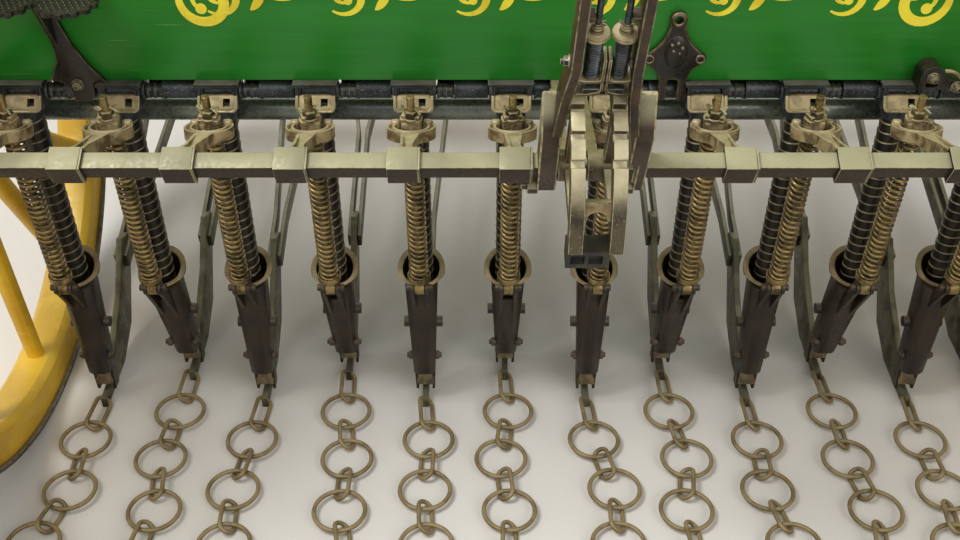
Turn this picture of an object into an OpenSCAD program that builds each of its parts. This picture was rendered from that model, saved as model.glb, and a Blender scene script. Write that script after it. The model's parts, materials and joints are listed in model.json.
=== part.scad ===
// Horse-drawn grain drill with runner openers, pressure springs and cover chains.
// Millimetres. X runs across the machine, +Y is the way it is drawn, Z is up from the ground.
// Every module is drawn with the axle at Y = 0; placed() then centres the machine along Y.

/* [Rows] */
// Number of openers, an even number, half on each lift
row_count = 12; // [4:2:14]
// Distance between two neighbouring rows
row_pitch = 152.4; // [150:0.1:180]
// Heel of the openers in the rear rank, from the axle
rear_heel_y = -49; // [-70:1:-40]
// Heel of the openers in the front rank, from the axle
front_heel_y = 25; // [0:1:40]

/* [Wheels] */
// Outer radius of the steel tyre
wheel_r = 610; // [560:1:660]
// Middle of the wheel rim, from the machine's centre line
wheel_x = 976; // [970:1:1010]
// Width of the steel tyre
tyre_w = 92; // [60:1:92]
// Thickness of the steel tyre
tyre_t = 9; // [5:1:14]
// Depth of the wooden felloe
felloe_t = 64; // [50:1:80]
// Width of the wooden felloe
felloe_w = 76; // [50:1:84]
// Number of spokes
spoke_count = 14; // [10:1:16]
// Radius of a spoke at the hub
spoke_r = 20; // [14:1:24]
// Largest radius of the wooden hub
hub_r = 82; // [70:1:100]
// Length of the hub
hub_len = 168; // [140:1:200]

/* [Frame] */
// Radius of the axle
axle_r = 19; // [15:1:22]
// Height of the side bars
side_bar_h = 60; // [50:1:70]
// Thickness of the side bars
side_bar_t = 16; // [10:1:20]
// Height of the side bars' middle line at the grain box
side_bar_z = 660; // [655:1:665]
// Length of the machine frame ahead of the axle, to the drag rod
drag_rod_y = 800; // [760:1:860]
// Height of the drag rod
drag_rod_z = 300; // [290:1:320]
// Radius of the drag rod
drag_rod_r = 8; // [6:0.5:10]
// Width of the front sill along the machine
sill_w = 90; // [80:1:110]
// Height of the front sill
sill_h = 70; // [60:1:90]
// Length of the pole
pole_len = 2050; // [1800:10:2400]
// Width of the pole at the sill
pole_w = 84; // [70:1:100]
// Height of the pole at the sill
pole_h = 100; // [80:1:120]
// Radius of the hitch pin's hole
hitch_r = 11; // [8:0.5:14]

/* [Grain box] */
// Length of the grain box over its end boards
box_len = 1780; // [1740:1:1790]
// Thickness of the boards
board_t = 20; // [14:1:24]
// Underside of the grain box above the ground
box_z = 690; // [690:1:690]
// Height of the grain box without its lid
box_h = 370; // [320:1:420]
// Width of the grain box at the top
box_top_w = 318; // [280:1:340]
// Width of the grain box at the bottom
box_floor_w = 112; // [100:1:124]
// Rear face of the grain box, from the axle
box_rear_y = -53; // [-56:1:-50]
// Number of strap hinges on the lid
hinge_count = 3; // [2:1:5]

/* [Feed] */
// Height of the feed shaft
feed_z = 664; // [662:1:666]
// Feed shaft, from the axle
feed_y = -38; // [-42:1:-36]
// Radius of the feed shaft
feed_r = 8; // [6:0.5:9]
// Width of a feed cup
cup_w = 70; // [66:1:72]
// Outer radius of a seed tube
tube_r = 22; // [18:1:23]
// Radius of the funnel's rim
funnel_r = 36.5; // [34:0.5:38]
// Height of the funnel's rim
funnel_z = 294; // [285:1:300]
// Middle of the funnels, from the axle
funnel_y = -40; // [-42:1:-38]

/* [Lift] */
// Rock shaft, from the axle
rock_y = -325; // [-340:1:-320]
// Height of the rock shaft
rock_z = 708; // [704:1:712]
// Side of the square rock shaft
rock_w = 25; // [20:1:28]
// Length of the lift arms, from the rock shaft to the rod
arm_len = 195; // [185:1:200]
// Slope of the lift arms when the openers are down
arm_slope = -14.5; // [-18:0.5:-10]
// Outer radius of the forked arm ends
fork_r = 37; // [36:0.5:38]
// Inner radius of the forked arm ends
fork_bore_r = 26; // [25:0.5:27]
// Thickness of the forked arm ends
fork_t = 15; // [10:1:18]
// Outer radius of the toothed quadrants
quadrant_r = 170; // [150:1:180]
// Lean of the levers to the rear when the openers are down
lever_lean = 26; // [20:1:30]
// Length of the levers from the rock shaft
lever_len = 740; // [600:5:800]
// Width of the levers
lever_w = 38; // [30:1:44]
// Thickness of the levers
lever_t = 10; // [8:0.5:12]

/* [Openers] */
// Width of a boot at its top
boot_top_w = 57; // [52:1:60]
// Width of a boot at its foot
boot_foot_w = 35; // [32:1:38]
// Wall of the boots
boot_wall = 5; // [4:0.5:7]
// Thickness of the runner blades
blade_t = 11; // [8:0.5:13]
// Height of the rod's pin above the ground
pin_z = 318; // [312:1:322]
// Rod's pin, from the axle
pin_y = -104; // [-108:1:-102]
// Radius of the pressure rods
rod_r = 6; // [5:0.5:7]
// Outer radius of the pressure springs
spring_r = 16.5; // [15:0.5:18]
// Diameter of the spring wire
spring_wire = 5.5; // [4:0.5:6]
// Half the distance between a drag bar's two legs at the drag rod
leg_spread = 42; // [36:1:44]
// Height of the drag bars' straps
strap_h = 32; // [26:1:36]
// Thickness of the drag bars' straps
strap_t = 8; // [6:0.5:9]

/* [Cover chains] */
// Rings in each chain
ring_count = 5; // [3:1:7]
// Radius of a ring to the middle of its wire
ring_r = 45; // [40:1:50]
// Diameter of the chain wire
chain_wire = 6.4; // [5:0.1:7]
// Length of a link over its ends
link_len = 74; // [64:1:84]
// Length of the hook link that ties a chain to its runner
hook_len = 88; // [80:1:100]
// Half the width of a link to the middle of its wire
link_half_w = 13.9; // [13.6:0.1:16]

/* [Hidden] */
$fn = 48;

// Running clearance of a shaft in its bore, and of a piece beside a moving one
run_gap = 0.05;
side_gap = 0.3;

// Colours as the machine's paint and metals show them
green = "#1f6b2a";
yellow = "#d8c628";
black = "#23211f";
cast = "#8c8468";
steel = "#6d6a62";
rust = "#7a6a50";
earth = "#4a3a2c";

// Rows: each side has half of them, the even ones counted from the left in the front rank
half_rows = row_count / 2;
function row_x(i) = (i - (row_count - 1) / 2) * row_pitch;
function is_front(i) = i % 2 == 1;
function heel_y(i) = is_front(i) ? front_heel_y : rear_heel_y;
function side_rows(s) = s < 0 ? [0 : half_rows - 1] : [half_rows : row_count - 1];

// Places that several pieces share
side_bar_x = box_len / 2 + 2;
side_bar_out = side_bar_x + side_bar_t;
axle_z = wheel_r;
hub_x = 924 + hub_len / 2;
axle_end = hub_x + hub_len / 2 + 16;
sill_z = drag_rod_z + 30;
sill_top = sill_z + sill_h;
sill_front = drag_rod_y + sill_w / 2;
hinge_y = box_rear_y + box_top_w + 14;
hinge_z = box_z + box_h + 12;

// The pole slopes from the sill's front top edge to the ground under its iron tip
tip_plate = 8;
pole_slope = asin(sill_top / sqrt(pow(pole_len, 2) + pow(tip_plate, 2))) - atan(tip_plate / pole_len);
pole_tip_y = sill_front + pole_len * cos(pole_slope) - tip_plate * sin(pole_slope);

// Chains: rings lie a little above the ground on the tilted links that join them
chain_r = chain_wire / 2;
link_gap = 0.4;
link_tilt = asin((chain_wire + link_gap) / link_half_w);
ring_z = chain_wire * 1.5 + link_gap;
// From a link's middle to the middle of its end wire, and to a ring that it holds
function link_end(length) = length / 2 - chain_r;
function ring_place(length) = link_end(length) - link_half_w - 2.5;
ring_step = 2 * ring_r + 2 * ring_place(link_len);
tail_hole = 12;
first_ring = link_end(hook_len) + ring_place(hook_len) + ring_r;
chain_yaw = [-5, -2, -5, 2, 5, 2, 4, 1, 1, 2, -2, 2, 1, 2];
// The rear end of the machine is the last ring that reaches furthest back
chain_rear = max([for (i = [0 : row_count - 1]) tail_hole - heel_y(i)
    + (first_ring + (ring_count - 1) * ring_step) * cos(chain_yaw[i]) + ring_r + chain_r]);
mid_y = (pole_tip_y - chain_rear) / 2;

// Lift geometry
bar_roll = 25;
sleeve_w = 45;
sleeve_h = rock_w + 11;
lever_left_x = -48;
lever_right_x = 91;
journal_r = 11;
// The stand's two bearings along X, each with its quadrant at the right-hand end
stand_left = [-34, -8];
stand_right = [17, 52];
hanger_t = 16;
quadrant_t = 10;
fork_y = rock_y + arm_len * cos(arm_slope);
fork_z = rock_z + arm_len * sin(arm_slope);
rod_lean = atan((pin_y - fork_y) / (fork_z - pin_z));
rod_reach = sqrt(pow(pin_y - fork_y, 2) + pow(fork_z - pin_z, 2));
seat_above = 22;
swivel_r = 12;
shaft_end = box_len / 2 - 22;

module placed() {
    translate([0, -mid_y, 0]) children();
}

// A cylinder along X, from x0 to x1
module rod_x(r, x0, x1) {
    translate([x0, 0, 0]) rotate([0, 90, 0]) cylinder(r = r, h = x1 - x0);
}

// A cylinder along Y, from y0 to y1
module rod_y(r, y0, y1) {
    translate([0, y1, 0]) rotate([90, 0, 0]) cylinder(r = r, h = y1 - y0);
}

// A side outline in (Y, Z), as a plate from x0 to x1
module side_plate(x0, x1) {
    translate([x0, 0, 0]) rotate([90, 0, 90]) linear_extrude(x1 - x0) children();
}

// An end outline in (X, Z), as a plate from y0 to y1
module end_plate(y0, y1) {
    translate([0, y1, 0]) rotate([90, 0, 0]) linear_extrude(y1 - y0) children();
}

// A block between two opposite corners
module block(a, b) {
    translate(a) cube(b - a);
}

// Both sides of the machine
module mirrored() {
    children();
    mirror([1, 0, 0]) children();
}

// Frame

// Middle line of a side bar: level under the box, then down to the sill
bar_line = [[rock_y - 22, side_bar_z], [120, side_bar_z], [sill_front - 100, sill_top + side_bar_h / 2],
    [sill_front + 10, sill_top + side_bar_h / 2]];

module side_bar_outline(low, high) {
    polygon(concat([for (p = bar_line) [p[0], p[1] + low]],
        [for (i = [len(bar_line) - 1 : -1 : 0]) [bar_line[i][0], bar_line[i][1] + high]]));
}

module side_bars() {
    color(black) mirrored() {
        side_plate(side_bar_x, side_bar_out) side_bar_outline(-side_bar_h / 2, side_bar_h / 2);
        side_plate(side_bar_out, side_bar_out + 9) side_bar_outline(-side_bar_h / 2, -side_bar_h / 2 + 8);
    }
}

module front_sill() {
    color(yellow) block([-side_bar_out - 9, drag_rod_y - sill_w / 2, sill_z],
        [side_bar_out + 9, sill_front, sill_top]);
}

// Hangers stand under the sill between the rows and hold the drag rod
module drag_rod() {
    hanger_w = 24;
    color(black) {
        translate([0, drag_rod_y, drag_rod_z]) rod_x(drag_rod_r, -side_bar_out, side_bar_out);
        for (i = [0 : row_count]) {
            middle = (i - row_count / 2) * row_pitch;
            x = max(-side_bar_x - hanger_w / 2 - 1, min(side_bar_x + hanger_w / 2 + 1, middle));
            side_plate(x - hanger_w / 2, x + hanger_w / 2) difference() {
                union() {
                    translate([drag_rod_y, drag_rod_z]) circle(r = drag_rod_r + 9);
                    translate([drag_rod_y - 17, drag_rod_z]) square([34, sill_z - drag_rod_z]);
                }
                translate([drag_rod_y, drag_rod_z]) circle(r = drag_rod_r);
            }
        }
    }
}

module axle() {
    color(steel) translate([0, 0, axle_z]) difference() {
        rod_x(axle_r, -axle_end, axle_end);
        // Holes for the linchpins
        mirrored() translate([axle_end - 7, 0, -axle_r - 1]) cylinder(r = 3, h = 2 * axle_r + 2);
    }
}

// Bearing castings hang from the side bars and hold the axle
module axle_bearings() {
    color(black) mirrored() {
        side_plate(side_bar_x - 8, side_bar_out) difference() {
            union() {
                translate([0, axle_z]) circle(r = axle_r + 14);
                polygon([[-60, side_bar_z - side_bar_h / 2], [60, side_bar_z - side_bar_h / 2],
                    [28, axle_z - 6], [-28, axle_z - 6]]);
            }
            translate([0, axle_z]) circle(r = axle_r);
            translate([-61, side_bar_z - side_bar_h / 2]) square([122, 60]);
        }
    }
}

module pole() {
    color(yellow) translate([0, sill_front, sill_top]) rotate([-pole_slope, 0, 0]) intersection() {
        side_plate(-pole_w, pole_w) polygon([[-sill_w - 30, 0], [pole_len - 60, 0],
            [pole_len - 60, 58], [pole_len - 280, 58], [500, pole_h], [-sill_w - 30, pole_h]]);
        linear_extrude(pole_h + 1) polygon([[-pole_w / 2, -sill_w - 30], [pole_w / 2, -sill_w - 30],
            [pole_w / 2, 500], [26, pole_len - 60], [-26, pole_len - 60], [-pole_w / 2, 500]]);
    }
}

// Wedge and stirrup on the sill, two flat braces, and the hitch irons at the tip
module pole_irons() {
    brace_in = pole_w / 2 - 12;
    brace_foot = 380;
    color(black) {
        side_plate(-pole_w / 2, pole_w / 2) polygon([[sill_front - sill_w, sill_top], [sill_front, sill_top],
            [sill_front - sill_w * cos(pole_slope), sill_top + sill_w * sin(pole_slope)],
            [sill_front - sill_w, sill_top + sill_w * sin(pole_slope)]]);
        translate([0, sill_front, sill_top]) rotate([-pole_slope, 0, 0]) {
            end_plate(-60, -20) difference() {
                translate([-pole_w / 2 - 8, 0]) square([pole_w + 16, pole_h + 8]);
                translate([-pole_w / 2, -1]) square([pole_w, pole_h + 1]);
            }
            mirrored() translate([0, 0, -8]) linear_extrude(8) polygon([[brace_in - 20, 600],
                [brace_in + 20, 600], [brace_foot + 22, 8], [brace_foot - 22, 8]]);
            hitch_plate(-tip_plate);
            hitch_plate(58);
        }
        mirrored() block([brace_foot - 40, sill_front, sill_z + 8], [brace_foot + 40, sill_front + 9, sill_top - 2]);
    }
}

module hitch_plate(z) {
    translate([0, 0, z]) linear_extrude(tip_plate) difference() {
        union() {
            translate([-26, pole_len - 260]) square([52, 260 - 26]);
            translate([0, pole_len - 26]) circle(r = 26);
        }
        translate([0, pole_len - 30]) circle(r = hitch_r);
    }
}

// Grain box

box_top_z = box_z + box_h;
box_in = box_len / 2 - board_t;
front_low_y = box_rear_y + box_floor_w;
front_high_y = box_rear_y + box_top_w;

module box_rear_board() {
    color(green) block([-box_in, box_rear_y, box_z], [box_in, box_rear_y + board_t, box_top_z]);
}

module box_front_board() {
    color(green) side_plate(-box_in, box_in) polygon([[front_low_y - board_t, box_z], [front_low_y, box_z],
        [front_high_y, box_top_z], [front_high_y - board_t, box_top_z]]);
}

module box_end_boards() {
    color(green) mirrored() side_plate(box_in, box_len / 2) polygon([[box_rear_y, box_z],
        [front_low_y, box_z], [front_high_y, box_top_z], [box_rear_y, box_top_z]]);
}

module box_floor() {
    color(green) side_plate(-box_in, box_in) polygon([[box_rear_y + board_t, box_z],
        [front_low_y - board_t, box_z],
        [front_low_y - board_t + board_t * (box_top_w - box_floor_w) / box_h, box_z + board_t],
        [box_rear_y + board_t, box_z + board_t]]);
}

// Cast feet under the box ends, on the side bars
module box_irons() {
    color(black) mirrored() {
        block([box_len / 2, -20, box_z], [side_bar_out + 6, 60, box_z + 9]);
        side_plate(box_len / 2, box_len / 2 + 7) polygon([[-20, box_z + 9], [60, box_z + 9],
            [40, box_z + 130], [0, box_z + 130]]);
        side_plate(box_len / 2 + 7, side_bar_out) polygon([[14, box_z + 9], [24, box_z + 9], [24, box_z + 60],
            [14, box_z + 60]]);
    }
}

hinge_step = box_len / hinge_count;
function hinge_x(i) = (i - (hinge_count - 1) / 2) * hinge_step;

// Middle knuckle, leaf and pin on the front board
module hinge_pins() {
    color(black) for (i = [0 : hinge_count - 1]) translate([hinge_x(i), 0, 0]) {
        translate([0, hinge_y, hinge_z]) rod_x(4, -28, 28);
        side_plate(-9, 9) union() {
            translate([hinge_y, hinge_z]) circle(r = 8);
            polygon([[front_high_y + side_gap, box_top_z - 90], [front_high_y + side_gap + 5, box_top_z - 90],
                [hinge_y + 5, hinge_z], [hinge_y - 5, hinge_z], [front_high_y + side_gap, box_top_z - 10]]);
        }
    }
}

module lid_board() {
    color(green) block([-box_len / 2 - 6, box_rear_y - 8, box_top_z + side_gap],
        [box_len / 2 + 6, front_high_y - 4, box_top_z + side_gap + board_t]);
}

// Strap and outer knuckles on the lid
module lid_hinges() {
    strap_z = box_top_z + side_gap + board_t;
    color(black) for (i = [0 : hinge_count - 1]) translate([hinge_x(i), 0, 0]) {
        mirrored() side_plate(9.5, 26) difference() {
            union() {
                translate([hinge_y, hinge_z]) circle(r = 8);
                polygon([[front_high_y - 4, hinge_z - 4], [hinge_y, hinge_z - 8], [hinge_y, hinge_z + 8],
                    [front_high_y - 4, strap_z + 4]]);
            }
            translate([hinge_y, hinge_z]) circle(r = 4 + run_gap);
        }
        block([-26, front_high_y - 150, strap_z], [26, front_high_y - 4, strap_z + 4]);
    }
}

// Feed

cup_lip_z = 640;
cup_foot_z = 630;

// One feed cup at X = 0: flange, round fluted-wheel housing, throat and tan lip
module feed_cup() {
    difference() {
        union() {
            block([-cup_w / 2, feed_y - 30, box_z - 6], [cup_w / 2, feed_y + 40, box_z]);
            translate([0, feed_y, feed_z]) rod_x(22, -cup_w / 2 + 6, cup_w / 2 - 6);
            block([-cup_w / 2 + 10, feed_y - 22, feed_z], [cup_w / 2 - 10, feed_y + 22, box_z - 6]);
            translate([0, feed_y - 17, cup_foot_z]) cylinder(r1 = tube_r + 1, r2 = tube_r + 6, h = feed_z - cup_foot_z);
            translate([0, feed_y - 22, cup_lip_z]) cylinder(r = tube_r + 9, h = 5);
        }
        translate([0, feed_y, feed_z]) rod_x(feed_r + run_gap, -cup_w, cup_w);
        translate([0, feed_y - 17, cup_foot_z - 1]) cylinder(r = tube_r - 4, h = 16);
    }
}

module feed_cups() {
    color("#2c3038") for (i = [0 : row_count - 1]) translate([row_x(i), 0, 0]) feed_cup();
}

// Square-shouldered couplings join the shaft between the cups
module feed_shaft() {
    color("#2c3038") translate([0, feed_y, feed_z]) {
        rod_x(feed_r, row_x(0) - cup_w / 2 - 6, gear_x);
        for (i = [0 : row_count - 2])
            if (i != half_rows - 1)
                rod_x(feed_r + 6, row_x(i) + row_pitch / 2 - 20, row_x(i) + row_pitch / 2 + 20);
    }
}

// Covered gears on the right-hand end carry the axle's turning to the feed shaft
gear_x = 883;

module gear_case() {
    color(black) side_plate(gear_x - 8.5, gear_x + 0.5) difference() {
        hull() {
            translate([0, axle_z]) circle(r = axle_r + 20);
            translate([feed_y, feed_z]) circle(r = 24);
        }
        translate([0, axle_z]) circle(r = axle_r + 14.5);
        translate([feed_y, feed_z]) circle(r = feed_r + run_gap);
    }
}

// A seed tube from the cup's foot down into the funnel
module seed_tube(i) {
    top = [row_x(i), feed_y - 17, cup_foot_z];
    low = [row_x(i), funnel_y, funnel_z - 16];
    lean = atan((top[1] - low[1]) / (top[2] - low[2]));
    length = (top[2] - low[2]) / cos(lean) - tube_r * sin(abs(lean));
    translate(low) rotate([-lean, 0, 0]) difference() {
        cylinder(r = tube_r, h = length);
        translate([0, 0, -1]) cylinder(r = tube_r - 2, h = length + 2);
    }
}

module seed_tubes_left() {
    color(black) for (i = side_rows(-1)) seed_tube(i);
}

module seed_tubes_right() {
    color(black) for (i = side_rows(1)) seed_tube(i);
}

// Small castings on the rear of the machine

// Bearings on the rear ends of the side bars for the rock shafts' outer journals
module shaft_bearings() {
    color(black) mirrored() side_plate(shaft_end + 6, side_bar_out) difference() {
        union() {
            translate([rock_y, rock_z]) circle(r = rock_z - side_bar_z - side_bar_h / 2);
            translate([rock_y - 22, side_bar_z + side_bar_h / 2]) square([70, 10]);
            translate([rock_y - 22, side_bar_z + side_bar_h / 2]) square([40, rock_z - side_bar_z - side_bar_h / 2]);
        }
        translate([rock_y, rock_z]) circle(r = journal_r + run_gap);
    }
}

// The stretch from angle a0 to a1 behind the vertical, about the rock shaft
module sector(a0, a1, r) {
    polygon(concat([[0, 0]], [for (k = [0 : 6]) let (a = a0 + (a1 - a0) * k / 6) [-r * sin(a), r * cos(a)]]));
}

// One toothed quadrant about the rock shaft, behind it, with two spokes
module quadrant_outline() {
    arc_in = quadrant_r - 30;
    intersection() {
        difference() {
            circle(r = quadrant_r);
            circle(r = arc_in);
            for (a = [24 : 7 : 94]) rotate(a) translate([-3.5, quadrant_r - 9]) square([7, 12]);
        }
        sector(18, 110, 2 * quadrant_r);
    }
    for (a = [28, 96]) rotate(a) translate([-9, journal_r + 3]) square([18, arc_in - journal_r + 2]);
}

// Hangers, bearings for the inner journals, and the two quadrants with their tie
module lever_stand() {
    color(cast) {
        for (span = [stand_left, stand_right]) {
            side_plate(span[0], span[1]) translate([rock_y, rock_z]) difference() {
                circle(r = journal_r + 11);
                circle(r = journal_r + run_gap);
            }
            side_plate(span[0], span[0] + hanger_t) translate([rock_y, rock_z])
                polygon([[14, -14], [215, -40], [215, -8], [14, 14]]);
            side_plate(span[1] - quadrant_t, span[1]) translate([rock_y, rock_z]) quadrant_outline();
        }
        // Cross plate and the stem that reaches between two cups to the box floor and the axle
        block([stand_left[0], rock_y + 213, 664], [stand_right[0] + hanger_t, rock_y + 225, 702]);
        side_plate(-16, 16) difference() {
            polygon([[rock_y + 223, 664], [-30, 640], [-26, axle_z - 20], [26, axle_z - 20], [26, box_z], [rock_y + 223, box_z]]);
            translate([0, axle_z]) circle(r = axle_r);
            translate([feed_y, feed_z]) circle(r = feed_r + run_gap);
        }
        // Tie with two windows across the lower ends of the quadrants
        translate([0, rock_y, rock_z]) rotate([104, 0, 0]) difference() {
            block([stand_left[1] - 2, -14, quadrant_r - 26], [stand_right[1] - quadrant_t + 2, 14, quadrant_r - 5]);
            for (x = [-3, 20]) block([x, -8, quadrant_r - 40], [x + 17, 8, quadrant_r + 10]);
        }
    }
}

module step() {
    color(black) {
        translate([-753, box_rear_y, 0]) {
            end_plate(-9, 0) polygon([[-26, box_z], [20, box_z], [14, 730], [-22, 800], [-34, 840],
                [-62, 840], [-48, 790], [-26, 740]]);
        }
        translate([-800, box_rear_y, 840]) linear_extrude(9) difference() {
            union() {
                translate([-45, -75]) circle(r = 48);
                translate([45, -75]) circle(r = 48);
                translate([-60, -75]) square([120, 75]);
            }
        }
    }
}

// Trefoil bracket: a tall stem with a knob, two ears and two short legs
module spade_bracket() {
    knob_z = box_z + 124;
    ear_z = box_z + 40;
    color(black) translate([173, box_rear_y, 0]) end_plate(-9, 0) difference() {
        union() {
            translate([0, knob_z]) circle(r = 12);
            polygon([[-11, knob_z], [11, knob_z], [15, box_z + 80], [40, ear_z + 8], [40, ear_z - 8],
                [20, box_z + 16], [20, box_z], [8, box_z], [8, box_z + 14], [-8, box_z + 14], [-8, box_z],
                [-20, box_z], [-20, box_z + 16], [-40, ear_z - 8], [-40, ear_z + 8], [-15, box_z + 80]]);
            for (s = [-1, 1]) translate([s * 38, ear_z]) circle(r = 8.5);
        }
        translate([0, knob_z]) circle(r = 4.5);
        for (s = [-1, 1]) translate([s * 38, ear_z]) circle(r = 4);
    }
}

module index_bracket() {
    color(black) translate([585, box_rear_y, 0]) end_plate(-8, 0) difference() {
        union() {
            translate([0, 730]) circle(r = 42);
            translate([-30, box_z]) square([60, 40]);
        }
        translate([0, 730]) circle(r = 6);
    }
}

// Wheels, made on the right-hand side

module tyre() {
    color(steel) translate([wheel_x - tyre_w / 2, 0, axle_z]) rotate([0, 90, 0]) difference() {
        cylinder(r = wheel_r, h = tyre_w);
        translate([0, 0, -1]) cylinder(r = wheel_r - tyre_t, h = tyre_w + 2);
    }
}

module wheel_wood() {
    felloe_out = wheel_r - tyre_t;
    felloe_in = felloe_out - felloe_t;
    chamfer = 12;
    color(yellow) translate([0, 0, axle_z]) {
        translate([wheel_x, 0, 0]) rotate([0, 90, 0]) rotate_extrude() polygon([
            [felloe_in, -felloe_w / 2 + chamfer], [felloe_in + chamfer, -felloe_w / 2], [felloe_out, -felloe_w / 2],
            [felloe_out, felloe_w / 2], [felloe_in + chamfer, felloe_w / 2], [felloe_in, felloe_w / 2 - chamfer]]);
        translate([hub_x, 0, 0]) rotate([0, 90, 0]) rotate_extrude() polygon([
            [axle_r + 8, -hub_len / 2 + 12], [hub_r - 24, -hub_len / 2 + 12], [hub_r, -30], [hub_r, 30],
            [hub_r - 30, hub_len / 2 - 12], [axle_r + 8, hub_len / 2 - 12]]);
        for (i = [0 : spoke_count - 1]) rotate([i * 360 / spoke_count, 0, 0]) spoke(felloe_in);
    }
}

// A spoke runs from the hub out to the rim, which stands nearer the machine
module spoke(felloe_in) {
    start = [hub_x, 0, hub_r - 12];
    dish = atan((hub_x - wheel_x) / (felloe_in + 8 - start[2]));
    length = (felloe_in + 8 - start[2]) / cos(dish);
    translate(start) rotate([0, -dish, 0]) cylinder(r1 = spoke_r, r2 = spoke_r * 0.8, h = length);
}

// Hub box with its two bands, the cap washer and the linchpin
module hub_irons() {
    color(black) translate([hub_x, 0, axle_z]) {
        rotate([0, 90, 0]) rotate_extrude() polygon([
            [axle_r + run_gap, -hub_len / 2], [hub_r - 20, -hub_len / 2], [hub_r - 20, -hub_len / 2 + 12],
            [axle_r + 8, -hub_len / 2 + 12], [axle_r + 8, hub_len / 2 - 12], [hub_r - 26, hub_len / 2 - 12],
            [hub_r - 26, hub_len / 2], [axle_r + run_gap, hub_len / 2]]);
    }
}

module tyre_right() { tyre(); }
module wheel_wood_right() { wheel_wood(); }
module hub_irons_right() { hub_irons(); }
module tyre_left() { mirror([1, 0, 0]) tyre(); }
module wheel_wood_left() { mirror([1, 0, 0]) wheel_wood(); }
module hub_irons_left() { mirror([1, 0, 0]) hub_irons(); }

// Lift

// Square shaft with round journals at both ends
module rock_shaft(s) {
    inner = s < 0 ? lever_left_x + lever_t / 2 : stand_right[1] + 1.5;
    journal_in = s < 0 ? stand_left[1] + 1 : stand_right[0] - 1;
    color("#8f8f74") translate([0, rock_y, rock_z]) {
        square_bar(min(s * shaft_end, inner), max(s * shaft_end, inner));
        rod_x(journal_r, min(s * side_bar_out, s * (shaft_end - 2)), max(s * side_bar_out, s * (shaft_end - 2)));
        rod_x(journal_r, min(journal_in, inner + 2 * s), max(journal_in, inner + 2 * s));
    }
}

module square_bar(x0, x1) {
    rotate([bar_roll, 0, 0]) block([x0, -rock_w / 2, -rock_w / 2], [x1, rock_w / 2, rock_w / 2]);
}

// The arm beside the right-hand lever has a shorter sleeve
function sleeve_left(i) = row_x(i) - sleeve_w / 2;
function sleeve_right(i) = (row_x(i) > 0 && row_x(i) < lever_right_x) ? lever_right_x - lever_t / 2 - 1
    : row_x(i) + sleeve_w / 2;

module lift_arm(i) {
    translate([0, rock_y, rock_z]) difference() {
        union() {
            rotate([bar_roll, 0, 0]) block([sleeve_left(i), -sleeve_h / 2, -sleeve_h / 2],
                [sleeve_right(i), sleeve_h / 2, sleeve_h / 2]);
            rotate([arm_slope, 0, 0]) {
                side_plate(row_x(i) - 7, row_x(i) + 7) polygon([[8, -15], [arm_len - fork_r + 6, -7],
                    [arm_len - fork_r + 6, 7], [8, 15]]);
                translate([row_x(i), arm_len, -fork_t / 2]) rotate(142) rotate_extrude(angle = 256)
                    translate([fork_bore_r, 0]) square([fork_r - fork_bore_r, fork_t]);
            }
        }
        square_bar(sleeve_left(i) - 1, sleeve_right(i) + 1);
    }
}

module lift_arms_left() {
    color(cast) for (i = side_rows(-1)) lift_arm(i);
}

module lift_arms_right() {
    color(cast) for (i = side_rows(1)) lift_arm(i);
}

// A lever about X = 0: hub, flat bar and grip
module lever() {
    difference() {
        side_plate(-lever_t / 2, lever_t / 2) rotate(lever_lean) union() {
            circle(r = 30);
            polygon([[-lever_w / 2, -44], [lever_w / 2, -44], [lever_w / 2, 200], [13, lever_len - 120],
                [-13, lever_len - 120], [-lever_w / 2, 200]]);
        }
        square_bar(-lever_t, lever_t);
    }
    rotate([lever_lean, 0, 0]) {
        translate([0, 0, lever_len - 120]) cylinder(r = 13, h = 110);
        translate([0, 0, lever_len - 10]) sphere(r = 16);
    }
}

// Latch beside a lever about X = 0: dog over the quadrant, rod, spring, guide and thumb piece
module latch(reach) {
    s = sign(reach);
    x0 = s * (lever_t / 2 + side_gap);
    rod_at = s * (lever_t / 2 + 11);
    rotate([lever_lean, 0, 0]) {
        block([min(x0, reach), -9, quadrant_r + 5.5], [max(x0, reach), 9, quadrant_r + 24]);
        translate([rod_at, 0, quadrant_r + 22]) cylinder(r = 4, h = 420);
        translate([rod_at, 0, quadrant_r + 60]) cylinder(r = 8.5, h = 90);
        block([min(x0, x0 + s * 20), -9, quadrant_r + 152], [max(x0, x0 + s * 20), 9, quadrant_r + 160]);
        block([min(x0, x0 + s * 18), -30, quadrant_r + 436], [max(x0, x0 + s * 18), 9, quadrant_r + 448]);
    }
}

module lever_left() {
    color(earth) translate([lever_left_x, rock_y, rock_z]) lever();
}

module lever_right() {
    color(earth) translate([lever_right_x, rock_y, rock_z]) lever();
}

module latch_left() {
    color(steel) translate([lever_left_x, rock_y, rock_z]) latch(stand_left[1] - lever_left_x);
}

module latch_right() {
    color(steel) translate([lever_right_x, rock_y, rock_z]) latch(stand_right[1] - quadrant_t - lever_right_x);
}

// Pressure rods

module on_rod(i) {
    translate([row_x(i), pin_y, pin_z]) rotate([rod_lean, 0, 0]) children();
}

module pressure_rod(i) {
    on_rod(i) {
        difference() {
            union() {
                rod_x(12, -8, 8);
                cylinder(r = rod_r, h = rod_reach + 52);
            }
            rod_x(6 + run_gap, -9, 9);
        }
        difference() {
            translate([0, 0, seat_above]) cylinder(r = spring_r + 3, h = 10);
            translate([0, 0, seat_above + 4]) cylinder(r = spring_r + 0.5, h = 10);
        }
    }
}

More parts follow.
